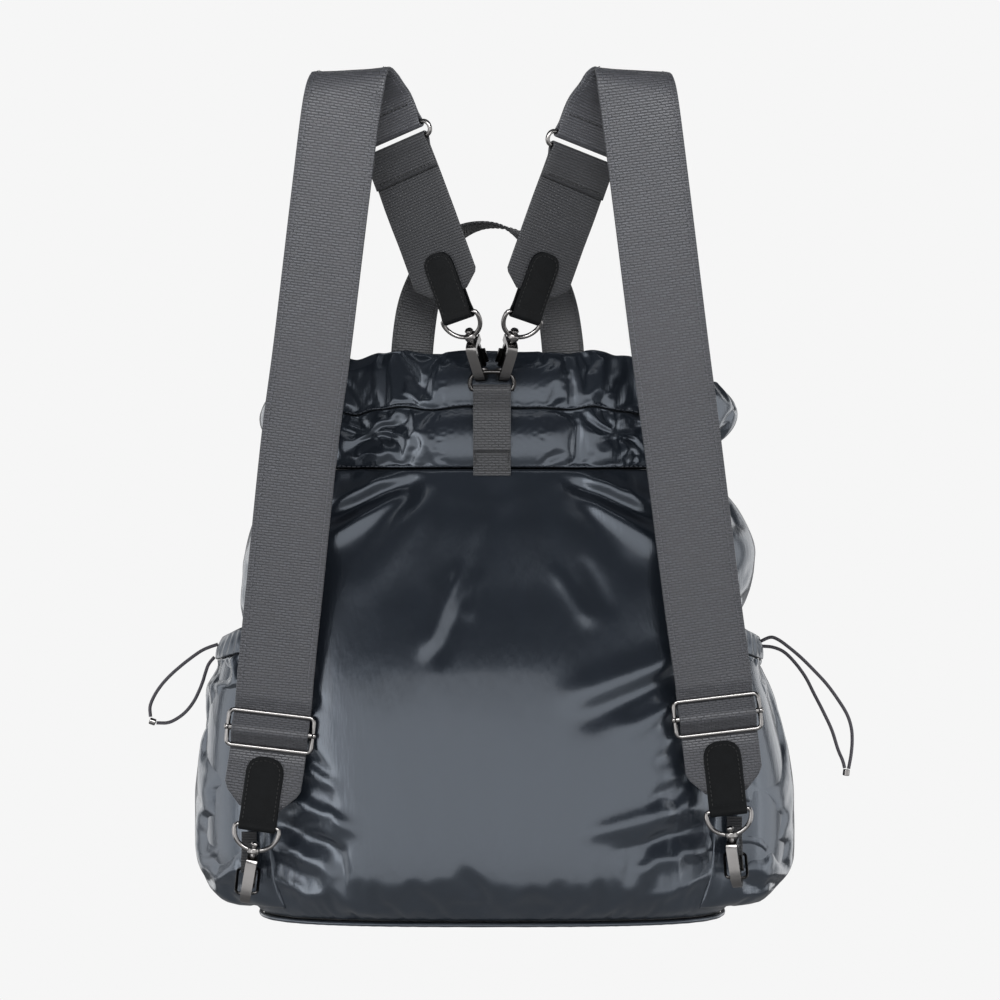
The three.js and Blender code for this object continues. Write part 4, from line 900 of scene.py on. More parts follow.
def finish(name):
    """The named finish, made once."""
    if name not in FINISHES:
        colours = settings().colours
        FINISHES[name] = {
            "shell nylon": lambda: nylon_finish("calendered_nylon_shell", colours.shell, 0.27, 1.0),
            "trim nylon": lambda: nylon_finish("calendered_nylon_trim", colours.trim, 0.38, 0.7),
            "webbing": lambda: web_finish("polyester_webbing", colours.webbing),
            "dark webbing": lambda: web_finish("polyester_webbing_dark", colours.dark_webbing, 0.6),
            "leather": lambda: leather_finish("coated_split_leather", colours.leather),
            "gunmetal": lambda: metal_finish("gunmetal_plated_zinc", colours.metal, 0.2),
            "black metal": lambda: metal_finish("black_plated_zinc", scaled(colours.metal, 0.16), 0.24),
            "cord": lambda: cord_finish("braided_shock_cord", linear("#4c4a50")),
            "dark thread": lambda: thread_finish("bonded_thread_dark", linear("#0c0d0e")),
            "shell thread": lambda: thread_finish("bonded_thread_shell", linear("#3c4048")),
            "web thread": lambda: thread_finish("bonded_thread_webbing", linear("#38393e")),
        }[name]()
    return FINISHES[name]


# Padded pieces
def ring_form(turns, outer, inner, point):
    """A closed wall round the sack: the outer shares upwards, then the inner shares down again."""
    grid_turn, shares = np.meshgrid(turns, np.concatenate([outer, inner]), indexing="ij")
    is_inner = np.zeros_like(shares)
    is_inner[:, len(outer):] = 1
    return point(grid_turn, shares, is_inner)


def surface_normals(points, wrap_u):
    """Outward normals of a grid from the differences of its neighbours."""
    du = np.roll(points, -1, axis=0) - np.roll(points, 1, axis=0)
    if not wrap_u:
        du[0], du[-1] = points[1] - points[0], points[-1] - points[-2]
    dv = np.roll(points, -1, axis=1) - np.roll(points, 1, axis=1)
    return unit(np.cross(du, dv))


def seam_stitches(name, points, row, turns, wrap_u, low, high, finish_name, pitch=3.4, lift=0.1):
    """Stitches along one row of a settled form, between two turns."""
    line = points[:, row]
    facing = surface_normals(points, wrap_u)[:, row]
    center = points.mean(axis=(0, 1))
    facing = np.where(np.sum(facing * (line - center), axis=1, keepdims=True) < 0, -facing, facing)
    keep = (turns >= low) & (turns <= high)
    place, along, normal = stitch_run(line[keep] + facing[keep] * lift, facing[keep], pitch)
    return sew(name, place, along, normal, pitch * 0.72, 0.34, finish(finish_name), "pack", "puffer_nylon")


def make_body():
    """The sack: its wall, with listed folds and pleats, let out by a cloth run."""
    turns = even_turns(232)
    outer = np.concatenate([np.linspace(0, 0.04, 4)[:-1], np.linspace(0.04, 0.96, 72), np.linspace(0.96, 1, 4)[1:]])
    inner = np.linspace(1, 0, 8)

    def point(turn, share, is_inner):
        z = BASE_SEAM_Z + (WAIST_Z - BASE_SEAM_Z) * share
        flat = bag_point(turn, z, -SHELL_WALL * is_inner)
        near = np.clip((BAG_CENTER_Y - 25 - flat[..., 1]) / 25, 0, 1)
        seam = away_from(share, 0, 1, 0.03)
        lift = fold_field(flat[..., 0], z) * near
        soft = (soft_noise(flat * [1, 1, 0.45], 90, 4) * 0.5
                + soft_noise(flat * [1, 1, 0.5], 30, 9) * (0.08 + 0.3 * (1 - near)))
        soft -= 2.6 * np.sin(math.pi * np.clip(share, 0, 1)) ** 0.6 * (1 - 0.85 * near)
        gather = waves(turn, 46, soft_noise(flat, 60, 5)) * 0.9 + waves(turn, 71, 1) * 0.4
        gather = gather * np.exp(-(1 - share) / 0.05) * (1 - 0.95 * near * np.exp(-(flat[..., 0] / 55) ** 4))
        pucker = np.exp(-share / 0.05) * waves(turn, 88, soft_noise(flat, 50, 6) * 1.5) * 0.5
        return bag_point(turn, z, (lift + soft + gather + pucker) * seam * (1 - is_inner) - SHELL_WALL * is_inner
                         + corner_ease(turn, z))
    form = ring_form(turns, outer, inner, point)
    hold = np.ones(form.shape[:2])
    columns = len(outer)
    grid_turn, share = np.meshgrid(turns, outer, indexing="ij")
    flat = form[:, :columns]
    seam = 1 - away_from(share, 0, 1, 0.02)
    under_pocket = np.clip((np.abs(flat[..., 0]) - 128) / 14, 0, 1) * np.clip((-352 - flat[..., 2]) / 12, 0, 1)
    under_tape = ((np.abs(np.abs(flat[..., 0]) - 152) < 16) & (flat[..., 2] < -425)) * 1.0
    hold[:, :columns] = np.maximum.reduce([seam, under_pocket, under_tape, 0.02 + 0 * share])
    size = settings().shell
    done = settle("body_fabric", form, hold, size.spare_cloth, size.loft, BODY_CAP, True)
    # Under the centre tape the shell is pulled taut, so there it keeps its given form
    taut = (0.92 * smooth((form[..., 2] - TAUT_FROM_Z) / TAUT_RISE) * np.exp(-(form[..., 0] / TAUT_HALF_WIDTH) ** 4)
            * (form[..., 1] < BAG_CENTER_Y))
    done = done + (form - done) * taut[..., None]
    body = lay_surface("body_fabric", done, wrap_u=True, wrap_v=True)
    finish_piece(body, finish("shell nylon"), "pack", "puffer_nylon", ["body_shell"], subdivide=1)


def make_collar():
    """The two collar tiers: puffed tubes gathered along their seams, pinched where the drawcord pulls."""
    turns = even_turns(300)
    size = settings().shell
    for tier, seed in (("lower", 21), ("upper", 33)):
        outer = np.concatenate([[0, 0.03], np.linspace(0.07, 0.93, 20), [0.97, 1]])
        inner = np.linspace(1, 0, 6)

        def point(turn, share, is_inner):
            flat = collar_point(turn, share, tier, COLLAR_WALL * is_inner)
            edge = np.sin(math.pi * np.clip(share, 0, 1))
            seams = np.exp(-share / 0.2) + (np.exp(-(1 - share) / 0.2) if tier == "lower" else 0.35 * share)
            gather = ((np.abs(soft_noise(flat * [1, 1, 0.3], 25, seed + 1)) ** 0.8 * 1.7 - 0.9) * seams
                      + (np.abs(soft_noise(flat * [1, 1, 0.4], 82, seed + 2)) ** 0.8 * 4.4 - 3.6) * edge)
            near = np.clip((BAG_CENTER_Y - 20 - flat[..., 1]) / 20, 0, 1)
            gather += knot_field(flat[..., 0], flat[..., 2]) * near
            lobes = {"lower": [(13, 1.1, 0.03), (17, 0.8, 0.4)], "upper": [(9, 1.2, 0.1), (14, 0.9, 0.55)]}[tier]
            sway = sum(deep * (np.cos((turn + phase) * count * 2 * math.pi) - 1) / 2 for count, deep, phase in lobes)
            away = np.clip(np.abs(turn - 0.75) / 0.03 - 0.6, 0, 1)
            lift = (gather + sway) * away * away_from(share, 0, 1.02, 0.04)
            return collar_point(turn, share, tier, COLLAR_WALL * is_inner - lift * (1 - is_inner))
        form = ring_form(turns, outer, inner, point)
        hold = np.ones(form.shape[:2])
        columns = len(outer)
        grid_turn, share = np.meshgrid(turns, outer, indexing="ij")
        seam = 1 - away_from(share, 0, 1 if tier == "lower" else 2, 0.06)
        rim = np.clip((share - 0.95) / 0.05, 0, 1) * 0.6 if tier == "upper" else 0 * share
        tape = np.exp(-((grid_turn - 0.75) / 0.022) ** 4) * 0.85
        flat = form[:, :columns]
        knot = sum(np.exp(-(np.hypot(flat[..., 0] - cx, flat[..., 2] - cz) / 13) ** 2) * (flat[..., 1] < BAG_CENTER_Y)
                   for cx, cz in KNOT_PLACES) * 0.7
        hold[:, :columns] = np.maximum.reduce([seam, rim, tape, knot, 0.02 + 0 * share])
        done = settle("collar_fabric_" + tier, form, hold, size.collar_spare, size.loft * 1.6, COLLAR_CAP, True,
                      bend=2.5)
        collar = lay_surface("collar_fabric_" + tier, done, wrap_u=True, wrap_v=True)
        finish_piece(collar, finish("shell nylon"), "pack", "puffer_nylon", ["collar_" + tier], subdivide=1)
        seam_stitches("stitches_waist" if tier == "lower" else "stitches_tier", done, 1, turns, True, 0.5, 1.0,
                      "shell thread")


def make_pockets():
    """Side pockets: padded panels whose bulge is let out, gathered under a plain elastic cuff."""
    size = settings().shell
    cuff_share = 1 - CUFF_HEIGHT / (POCKET_TOP_Z - POCKET_BOTTOM_Z)
    seam_share = SEAT_GAP / (POCKET_TOP_Z - POCKET_BOTTOM_Z)
    across = 0.5 - 0.5 * np.cos(np.linspace(0.0, 1.0, 66) * math.pi) * (1 - 0.12 * np.sin(
        np.linspace(0, 1, 66) * math.pi) ** 2)
    for label, side in (("left", -1), ("right", 1)):
        heights = np.linspace(0, cuff_share - seam_share, 52)
        levels = np.concatenate([heights, heights[::-4]])
        is_inner = np.concatenate([np.zeros(len(heights)), np.ones(len(heights[::-4]))])
        grid_across, share = np.meshgrid(across, levels, indexing="ij")
        wall = np.broadcast_to(POCKET_WALL * (1 - is_inner), share.shape)
        flat = pocket_point(side, grid_across, share, wall)
        edge = away_from(grid_across, 0, 1, 0.06)
        gather = waves(grid_across, 15, 1.6 * soft_noise(flat, 40, 50 + side)) * 2.0
        gather = gather * np.exp(-(cuff_share - share) / 0.1)
        soft = soft_noise(flat * [1, 1, 0.6], 42, 60 + side) * 1.6 + soft_noise(flat * [1, 1, 0.6], 20, 70 + side) * 0.5
        soft -= 4.2 * np.sin(math.pi * np.clip(share / cuff_share, 0, 1)) ** 0.5
        shaped = pocket_point(side, grid_across, share, wall + (gather + soft) * edge * (wall > 0)
                              * np.clip(share / 0.03, 0, 1) * np.clip((cuff_share - share) / 0.02, 0, 1))
        hold = np.where(wall > 0, 0.02, 1.0)
        rim = 1 - away_from(grid_across, 0, 1, 0.04)
        ends = 1 - away_from(share, 0, cuff_share, 0.015)
        tape = ((np.abs(np.abs(flat[..., 0]) - 152) < 14) & (flat[..., 1] < BAG_CENTER_Y - 30)) * 1.0
        hold = np.maximum.reduce([hold, rim, ends, tape])
        done = settle("pocket_fabric_" + label, shaped, hold, POCKET_SPARE, size.loft * 1.6, BODY_CAP, False,
                      bend=0.2)
        pocket = lay_surface("pocket_fabric_" + label, done, wrap_v=True, caps=True)
        finish_piece(pocket, finish("shell nylon"), "pack", "puffer_nylon", ["pocket_" + label], subdivide=1)

        # The cuff: a flat casing with fine gathers
        cuff_levels = np.concatenate([np.linspace(cuff_share, 1, 14), np.linspace(1, cuff_share, 5)])
        in_cuff = np.concatenate([np.zeros(14), np.ones(5)])
        dense = np.linspace(0, 1, 150)
        grid_across, share = np.meshgrid(dense, cuff_levels, indexing="ij")
        wall = np.broadcast_to(POCKET_WALL * (1 - in_cuff), share.shape)
        rise = np.clip((share - cuff_share) / (1 - cuff_share), 0, 1)
        flat = pocket_point(side, grid_across, share, wall)
        ripple = np.sin(math.pi * rise) * (waves(grid_across, 21, 1.4 * soft_noise(flat, 30, 80 + side)) * 0.7 + 0.6)
        edge = away_from(grid_across, 0, 1, 0.05)
        cuff_points = pocket_point(side, grid_across, share, wall + ripple * edge * (wall > 0))
        cuff = lay_surface("cuff_fabric_" + label, cuff_points, wrap_v=True, caps=True)
        finish_piece(cuff, finish("trim nylon"), "pack", "trim_nylon", ["pocket_cuff_" + label], subdivide=1)


def make_base():
    """The base panel, a shallow sagging dish with puckers at its edge, and the corded seam round it."""
    turns = even_turns(200)
    top = BASE_SEAM_Z - SEAT_GAP
    rings = np.concatenate([np.linspace(0.02, 0.9, 9), [0.95, 0.98, 1.0]])

    def dish(shares, drop):
        grid_turn, share = np.meshgrid(turns, shares, indexing="ij")
        edge = bag_point(grid_turn, BASE_SEAM_Z, -SEAT_GAP - PIPING_SIZE / 2 + corner_ease(grid_turn, BASE_SEAM_Z))
        middle = np.array([0.0, BAG_CENTER_Y, 0.0])
        flat = middle + (edge - middle) * share[..., None]
        pucker = waves(grid_turn, 60) * 0.5 * np.exp(-(1 - share) / 0.05) * (drop > 0) * (share < 1)
        flat[..., 2] = top - drop - BASE_SAG * (1 - share ** 4) + pucker
        return flat
    form = np.concatenate([dish(rings, 0.0), dish(rings[::-1], BASE_WALL)], axis=1)
    base = lay_surface("base_fabric", form, wrap_u=True, wrap_v=True)
    finish_piece(base, finish("trim nylon"), "pack", "trim_nylon", ["base_panel"], subdivide=1)

    angle = np.arange(10) / 10 * 2 * math.pi
    grid_turn, round_angle = np.meshgrid(turns, angle, indexing="ij")
    radius = PIPING_SIZE / 2 * (1 + 0.05 * waves(grid_turn, 90))
    cord = bag_point(grid_turn, BASE_SEAM_Z, radius * np.cos(round_angle) + corner_ease(grid_turn, BASE_SEAM_Z))
    cord[..., 2] = top - PIPING_SIZE / 2 + radius * np.sin(round_angle)
    piping = lay_surface("piping_fabric", cord, wrap_u=True, wrap_v=True)
    finish_piece(piping, finish("trim nylon"), "pack", "trim_nylon", ["base_piping"])


# Length over which straight webbing turns into its curve, in millimetres
ZONE_FADE = 22.0
# Where the short webbing ends behind the upper tab, as a share of the tab's length from the eye
UPPER_END_SHARE = 0.34
# Frames of the fittings: origin in millimetres, width direction, direction up the webbing
FITTING_FRAMES = {
    "hook_eye_upper_left": ((-21.717, 26.201, -151.725), (0.80688, -0.53929, 0.24106), (-0.48827, -0.37921, 0.786)),
    "tab_upper_left": ((-21.717, 26.201, -151.725), (0.80679, -0.53931, 0.24131), (-0.33964, -0.08914, 0.93632)),
    "slider_left": ((-144.509, 31.924, -421.801), (0.99312, 0.00354, -0.11703), (0.11708, -0.03007, 0.99267)),
    "ring_left": ((-63.449, 18.912, -39.127), (0.79782, -0.5449, 0.258), (-0.36331, -0.09303, 0.92701)),
    "tab_lower_left": ((-153.029, 32.878, -483.997), (0.98979, 0.00232, -0.14248), (0.1425, -0.00977, 0.98975)),
    "hook_eye_lower_left": ((-153.029, 32.878, -483.997), (0.98979, 0.00232, -0.14248), (0.1425, -0.00977, 0.98975)),
    "hook_eye_upper_right": ((21.64, 26.152, -151.701), (0.80916, 0.53836, -0.23541), (0.48345, -0.38229, 0.78748)),
    "tab_upper_right": ((21.64, 26.152, -151.701), (0.80907, 0.53839, -0.23567), (0.33384, -0.091, 0.93823)),
    "slider_right": ((147.014, 31.924, -411.414), (0.99318, -0.00353, 0.1165), (-0.11655, -0.03009, 0.99273)),
    "ring_right": ((59.956, 18.912, -45.1), (0.80769, 0.53945, -0.23796), (0.33789, -0.09275, 0.93661)),
    "tab_lower_right": ((154.179, 32.879, -473.655), (0.99353, -0.0019, 0.11353), (-0.11355, -0.00987, 0.99348)),
    "hook_eye_lower_right": ((154.179, 32.879, -473.655), (0.99353, -0.0019, 0.11353), (-0.11355, -0.00987, 0.99348)),
    "center_ring": ((0, CENTER_RING_Y, CENTER_RING_Z), (1, 0, 0), (0, 0, 1)),
}


def placed(local, fitting):
    """Points of a fitting's own frame, turned and moved to where it hangs."""
    origin, x, z = (np.array(v, float) for v in FITTING_FRAMES[fitting])
    y = np.cross(z, x)
    local = np.asarray(local, float)
    return origin + local[..., :1] * x + local[..., 1:2] * y + local[..., 2:] * z


def direction_in(axis, fitting):
    """A direction of a fitting's own frame, turned as the fitting is."""
    return placed([axis], fitting) - placed([[0, 0, 0]], fitting)


def curve_at(points, place):
    """A centripetal Catmull-Rom curve through the points, whose ends are mirrored: a cubic for each span, with the
    slopes weighted by the square roots of the chords."""
    points = np.concatenate([[2 * points[0] - points[1]], points, [2 * points[-1] - points[-2]]])
    place = np.clip(np.atleast_1d(place), 0, len(points) - 3)
    i = np.minimum(place.astype(int), len(points) - 4)
    w = (place - i)[:, None]
    p0, p1, p2, p3 = (points[i + k] for k in range(4))
    d0, d1, d2 = (np.sqrt(np.linalg.norm(b - a, axis=1, keepdims=True)) for a, b in ((p0, p1), (p1, p2), (p2, p3)))
    t1 = ((p1 - p0) / d0 - (p2 - p0) / (d0 + d1) + (p2 - p1) / d1) * d1
    t2 = ((p2 - p1) / d1 - (p3 - p1) / (d1 + d2) + (p3 - p2) / d2) * d1
    return p1 + t1 * w + (3 * (p2 - p1) - 2 * t1 - t2) * w ** 2 + (2 * (p1 - p2) + t1 + t2) * w ** 3


def wide_at(along, yaw):
    """The webbing's width direction: level, turned by the yaw, made square to the run."""
    level = np.stack([np.cos(yaw), np.sin(yaw), 0 * yaw], axis=-1)
    return unit(level - along * np.sum(level * along, axis=-1, keepdims=True))


def spine_of(side):
    """The middle line of one shoulder strap: a function of distance and offset, and its named distances."""
    rows = np.array(SPINE_TABLE[side], float)
    points = rows[:, :3] * [HARNESS_SPREAD, HARNESS_BACK, HARNESS_DROP]
    eye = np.array(FITTING_FRAMES["tab_upper_" + side][0])
    end_along = unit(eye - points[-1])
    points = np.concatenate([points, points[-1] + (eye - points[-1]) * np.array([[0.3], [0.65], [1.0]])])
    yaws = np.radians(np.concatenate([rows[:, 3], np.full(3, rows[-1, 3])]))
    spans = len(points) - 1
    lengths = {}
    for steps in (200, 2000):
        line = curve_at(points, np.linspace(0, spans, steps + 1))
        lengths[steps] = run_of(line)
    total = lengths[200][-1]

    def place_of_row(row):
        return lengths[2000][round(2000 * row / spans)]

    def curved(distance):
        share = np.interp(np.clip(distance, 0, total), lengths[200], np.linspace(0, 1, 201))
        along = unit(curve_at(points, np.minimum(share + 1e-4, 1) * spans)
                     - curve_at(points, np.maximum(share - 1e-4, 0) * spans))
        yaw = np.interp(share * spans, np.arange(spans + 1), yaws)
        return curve_at(points, share * spans), along, wide_at(along, yaw)
    zones = []
    for row in (SLIDER_ROW, RING_ROW):
        home = place_of_row(row)
        zones.append((home, home - RIGID_REACH, home + RIGID_REACH, *(v[0] for v in curved(np.array([home])))))
    straight = total - TAB_LENGTH_UPPER - TAB_LEAD
    zones.append((total, straight, total, eye, end_along, wide_at(end_along, yaws[-1])))

    def at(distance, offset):
        distance = np.asarray(distance, float)
        point, along, wide = curved(distance)
        for home, low, high, zone_point, zone_along, zone_wide in zones:
            outside = np.maximum(np.maximum(low - distance, distance - high), 0)
            share = smooth(1 - outside / ZONE_FADE)[:, None]
            point = point + (zone_point + zone_along * (distance - home)[:, None] - point) * share
            along = unit(along + (zone_along - along) * share)
            wide = unit(wide + (zone_wide - wide) * share)
        out = unit(np.cross(wide, along))
        return point + out * (np.zeros(len(distance)) + offset)[:, None], along, wide, out
    return at, {"slider": place_of_row(SLIDER_ROW), "ring": place_of_row(RING_ROW), "total": total,
                "straight": straight, "shoulder": place_of_row(SLIDER_ROW + 8)}


# How much higher the slack running layer crowns over the slider's bar
BAR_CROWN = 1.3


def ease(start, end, count=8):
    """Steps from one (distance, offset) to another whose offset starts and ends level."""
    t = np.linspace(0, 1, count)
    return np.stack([start[0] + (end[0] - start[0]) * t, start[1] + (end[1] - start[1]) * smooth(t)], axis=-1)


def arc(center, radius, start, end, count=10):
    """Steps round a circle in (distance, offset), between two angles in degrees."""
    angle = np.radians(np.linspace(start, end, count))
    return np.stack([center + radius * np.cos(angle), radius * np.sin(angle)], axis=-1)


def straight_run(start, end, offset, spacing=3.6):
    """Even steps along a run at one offset."""
    count = max(int(abs(end - start) / spacing), 2)
    return np.stack([np.linspace(start, end, count), np.full(count, offset)], axis=-1)


def web_measures():
    """How far the layers of webbing lie from the middle of the run, and the radii of their folds."""
    thick = web_thick()
    fold = RING_WIRE / 2 + LAYER_GAP + thick / 2
    return {"layer": (thick + LAYER_GAP) / 2, "step": thick + LAYER_GAP, "ring_fold": fold,
            "ring_half": fold + thick / 2 + RING_SLIT / 2, "spacing": (SLIDER_HEIGHT - SLIDER_WIRE) / 2,
            "frame_round": (SLIDER_WIRE + thick) / 2 + LAYER_GAP, "bar_fold": (BAR_WIRE + thick) / 2 + LAYER_GAP}


def long_course(marks):
    """The long strap in (distance, offset): tapered end, behind the slider's frame and over its bar, up and over the
    shoulder, round the ring, back behind itself, and round the bar to its sewn end."""
    m = web_measures()
    slider, bar = marks["slider"], marks["ring"] - m["ring_half"]
    over = math.degrees(math.acos((m["bar_fold"] + m["step"] + m["frame_round"]) / m["spacing"]))
    behind = m["frame_round"] + m["step"]
    under = math.degrees(math.acos((m["bar_fold"] + behind) / m["spacing"]))
    gap, fold = m["spacing"], m["ring_fold"]
    return np.concatenate([
        straight_run(0, slider - gap * 1.9, 0),
        ease((slider - gap * 1.85, 0), (slider - gap, -m["frame_round"])),
        arc(slider - gap, m["frame_round"], -90, -over, 6),
        arc(slider, m["bar_fold"] + m["step"], 180 - over, over, 16) * [1, BAR_CROWN],
        arc(slider + gap, m["frame_round"], 180 + over, 270, 6),
        ease((slider + gap, -m["frame_round"]), (slider + gap * 2, m["layer"]))[1:],
        straight_run(slider + gap * 2 + 2, bar - fold * 3 - 1, m["layer"]),
        ease((bar - fold * 3, m["layer"]), (bar, fold)),
        arc(bar, fold, 90, -90, 14)[1:-1],
        ease((bar, -fold), (bar - fold * 3, -m["layer"])),
        straight_run(bar - fold * 3 - 1, slider + gap * 2.2, -m["layer"]),
        ease((slider + gap * 2.1, -m["layer"]), (slider + gap, -behind)),
        arc(slider + gap, behind, 270, 180 + under, 6)[1:],
        arc(slider, m["bar_fold"], under, 270, 18),
        ease((slider + 1, -m["bar_fold"]), (slider + gap, -m["frame_round"] - m["step"] * 2)),
        straight_run(slider + gap + 1, slider + gap * 1.5, -m["frame_round"] - m["step"] * 1.9, 2),
    ])


def short_course(marks):
    """The short strap in (distance, offset): its flap, round the ring, and down to the leather tab."""
    m = web_measures()
    bar, fold = marks["ring"] + m["ring_half"], m["ring_fold"]
    return np.concatenate([
        straight_run(bar + SHORT_FLAP, bar + fold * 3 + 1, -m["step"], 2.5),
        ease((bar + fold * 3, -m["step"]), (bar, -fold)),
        arc(bar, fold, 270, 90, 14)[1:-1],
        ease((bar, fold), (bar + fold * 3, 0)),
        straight_run(bar + fold * 3 + 1, marks["total"] - TAB_LENGTH_UPPER * UPPER_END_SHARE, 0, 2.5),
    ])


def web_half(distance, end, direction, chamfer=WEB_CHAMFER):
    """Half width of webbing whose end is cut to a taper: full, less a straight chamfer."""
    share = np.clip(np.abs(distance - end) / chamfer, 0, 1)
    near = np.abs(distance - end) <= chamfer
    full, narrow = web_width() / 2, WEB_END_WIDTH / 2
    return np.where(near & (direction > 0), narrow + (full - narrow) * share, full)


def web_stitches(name, at, start, end, offset, laterals, finish_name, slot):
    """Rows of stitches along webbing, at places across its width."""
    pitch = settings().harness.stitch_pitch / MM
    distance = np.arange(start, end, 3.0)
    point, along, wide, out = at(distance, offset)
    facing = out * np.sign(offset)
    place, direction, normal = several_runs([(point + wide * lateral, facing) for lateral in laterals], pitch)
    return sew(name, place, direction, normal, pitch * 0.68, settings().harness.thread / MM / 2, finish(finish_name),
               "pack", slot)


def cross_stitches(name, at, distance, offset, finish_name, inset=3.0):
    """One row of stitches across webbing."""
    pitch = settings().harness.stitch_pitch / MM
    point, along, wide, out = (v[0] for v in at(np.array([distance]), offset))
    reach = web_width() / 2 - inset
    line = point + wide * np.linspace(-reach, reach, 40)[:, None]
    facing = np.broadcast_to(out * np.sign(offset), line.shape)
    place, direction, normal = stitch_run(line, facing, pitch)
    return sew(name, place, direction, normal, pitch * 0.7, 0.42, finish(finish_name), "pack", "dark_webbing")


def make_straps():
    """Long and short straps of both shoulders, with their sewing."""
    thick = web_thick()
    m = web_measures()
    for side in ("left", "right"):
        at, marks = spine_of(side)
        course = long_course(marks)
        point, _, wide, _ = at(course[:, 0], course[:, 1])
        lower = np.arange(len(course)) < len(course) / 3
        half = web_half(course[:, 0], 0.0, lower * 1.0)
        strap = sweep("webbing_" + side, point, wide, strip_profile(half, thick))
        finish_piece(strap, finish("webbing"), "pack", "webbing", ["strap_" + side])
        course = short_course(marks)
        point, _, wide, _ = at(course[:, 0], course[:, 1])
        half = web_half(course[:, 0], marks["total"] - TAB_LENGTH_UPPER * UPPER_END_SHARE, 1.0, 9.0)
        strap = sweep("short_webbing_" + side, point, wide, strip_profile(half, thick))
        finish_piece(strap, finish("dark webbing"), "pack", "dark_webbing", ["short_strap_" + side])
        start, end = marks["slider"] + m["spacing"] * 2 + 4, marks["ring"] - m["ring_half"] - m["ring_fold"] * 3 - 2
        face = m["layer"] + thick / 2 + 0.14
        edges = (-(web_width() / 2 - 3.6), web_width() / 2 - 3.6)
        web_stitches("stitches_front_" + side, at, start, end, face, edges, "web thread", "webbing")
        web_stitches("stitches_back_" + side, at, start, end, -face, edges, "web thread", "webbing")
        bar = marks["ring"] + m["ring_half"]
        cross_stitches("stitches_flap_" + side, at, bar + SHORT_FLAP - 3, -m["step"] - thick / 2 - 0.1, "dark thread")
        cross_stitches("stitches_ring_" + side, at, marks["ring"] - m["ring_half"] - m["ring_fold"] * 3 - 6,
                       -face, "dark thread")


def tip_width(down):
    """Share of a tab's half width, a share of that half width below its round tip: a squared quarter circle."""
    return (1 - (1 - np.clip(down, 0, 1)) ** 2.6) ** (1 / 2.6)


def make_tabs():
    """Leather tabs: a strip folded round the hook's eye, round at both ends and stitched near its outline."""
    for level, width, length in (("lower", TAB_WIDTH_LOWER, TAB_LENGTH_LOWER),
                                 ("upper", TAB_WIDTH_UPPER, TAB_LENGTH_UPPER)):
        fold = (EYE_WIRE + LEATHER) / 2 + LAYER_GAP
        flat = (web_thick() + LEATHER) / 2 + LAYER_GAP
        half, top = width / 2, length - fold
        down = 1 - np.cos(np.linspace(0.07, math.pi / 2, 14))
        tip = np.stack([np.full(14, -flat), top - down * half], axis=-1)
        leaf = np.stack([np.full(12, -flat), np.linspace(top - half - 1.5, fold * 2.6, 12)], axis=-1)
        t = np.linspace(0, 1, 7)[1:]
        neck = np.stack([-flat - (fold - flat) * smooth(t), fold * 2.6 * (1 - t)], axis=-1)
        front = np.concatenate([tip, leaf, neck])
        angle = np.linspace(0, math.pi, 15)[1:-1]
        bend = np.stack([-fold * np.cos(angle), -fold * np.sin(angle)], axis=-1)
        path = np.concatenate([front, bend, front[::-1] * [-1, 1]])
        wide_share = np.concatenate([tip_width(down), np.ones(len(leaf) + len(neck))])
        halves = half * np.concatenate([wide_share, np.ones(len(bend)), wide_share[::-1]])
        local = np.stack([0 * path[:, 0], path[:, 0], path[:, 1]], axis=-1)
        inset = 2.3
        reach = np.linspace(fold * 1.5, top - inset, 60)
        side_line = np.maximum((half - inset) * tip_width((top - inset - reach) / (half - inset)), 0.01)
        outline = np.concatenate([np.stack([-side_line, reach], -1), np.stack([side_line, reach], -1)[::-1],
                                  [[-side_line[0], reach[0]]]])
        for side in ("left", "right"):
            fitting = "tab_%s_%s" % (level, side)
            x = np.array(FITTING_FRAMES[fitting][1])
            tab = sweep("leather_%s_%s" % (level, side), placed(local, fitting), np.broadcast_to(x, local.shape),
                        strip_profile(halves, LEATHER, 7, 9, 0.0))
            finish_piece(tab, finish("leather"), "pack", "tab_leather", [fitting])
            over = 0 * outline[:, 0] - flat - LEATHER / 2 - 0.05
            line = placed(np.stack([outline[:, 0], over, outline[:, 1]], -1), fitting)
            facing = np.broadcast_to(direction_in([0, -1, 0], fitting), line.shape)
            place, along, normal = stitch_run(line, facing, TAB_PITCH)
            sew("stitches_tab_%s_%s" % (level, side), place, along, normal, 2.0, 0.3, finish("dark thread"), "pack",
                "tab_leather")


# Fittings
def rounded_path(half_width, half_height, corner, steps):
    """A rounded rectangle in X and Z: four quarter circles joined by straight sides."""
    quarter = np.radians(np.linspace(0, 90, steps + 1))
    parts = []
    for sx, sz, start in ((1, 1, 0), (-1, 1, 90), (-1, -1, 180), (1, -1, 270)):
        angle = quarter + math.radians(start)
        parts.append(np.stack([sx * (half_width - corner) + corner * np.cos(angle), 0 * angle,
                               sz * (half_height - corner) + corner * np.sin(angle)], axis=-1))
    return np.concatenate(parts)


def bent_wire(name, path, diameter, fitting):
    """Round wire bent to a closed path."""
    points = placed(path, fitting)
    across = np.broadcast_to(direction_in([0, 1, 0], fitting), points.shape)
    return sweep(name, points, across, round_profile(diameter / 2, 16), closed=True)


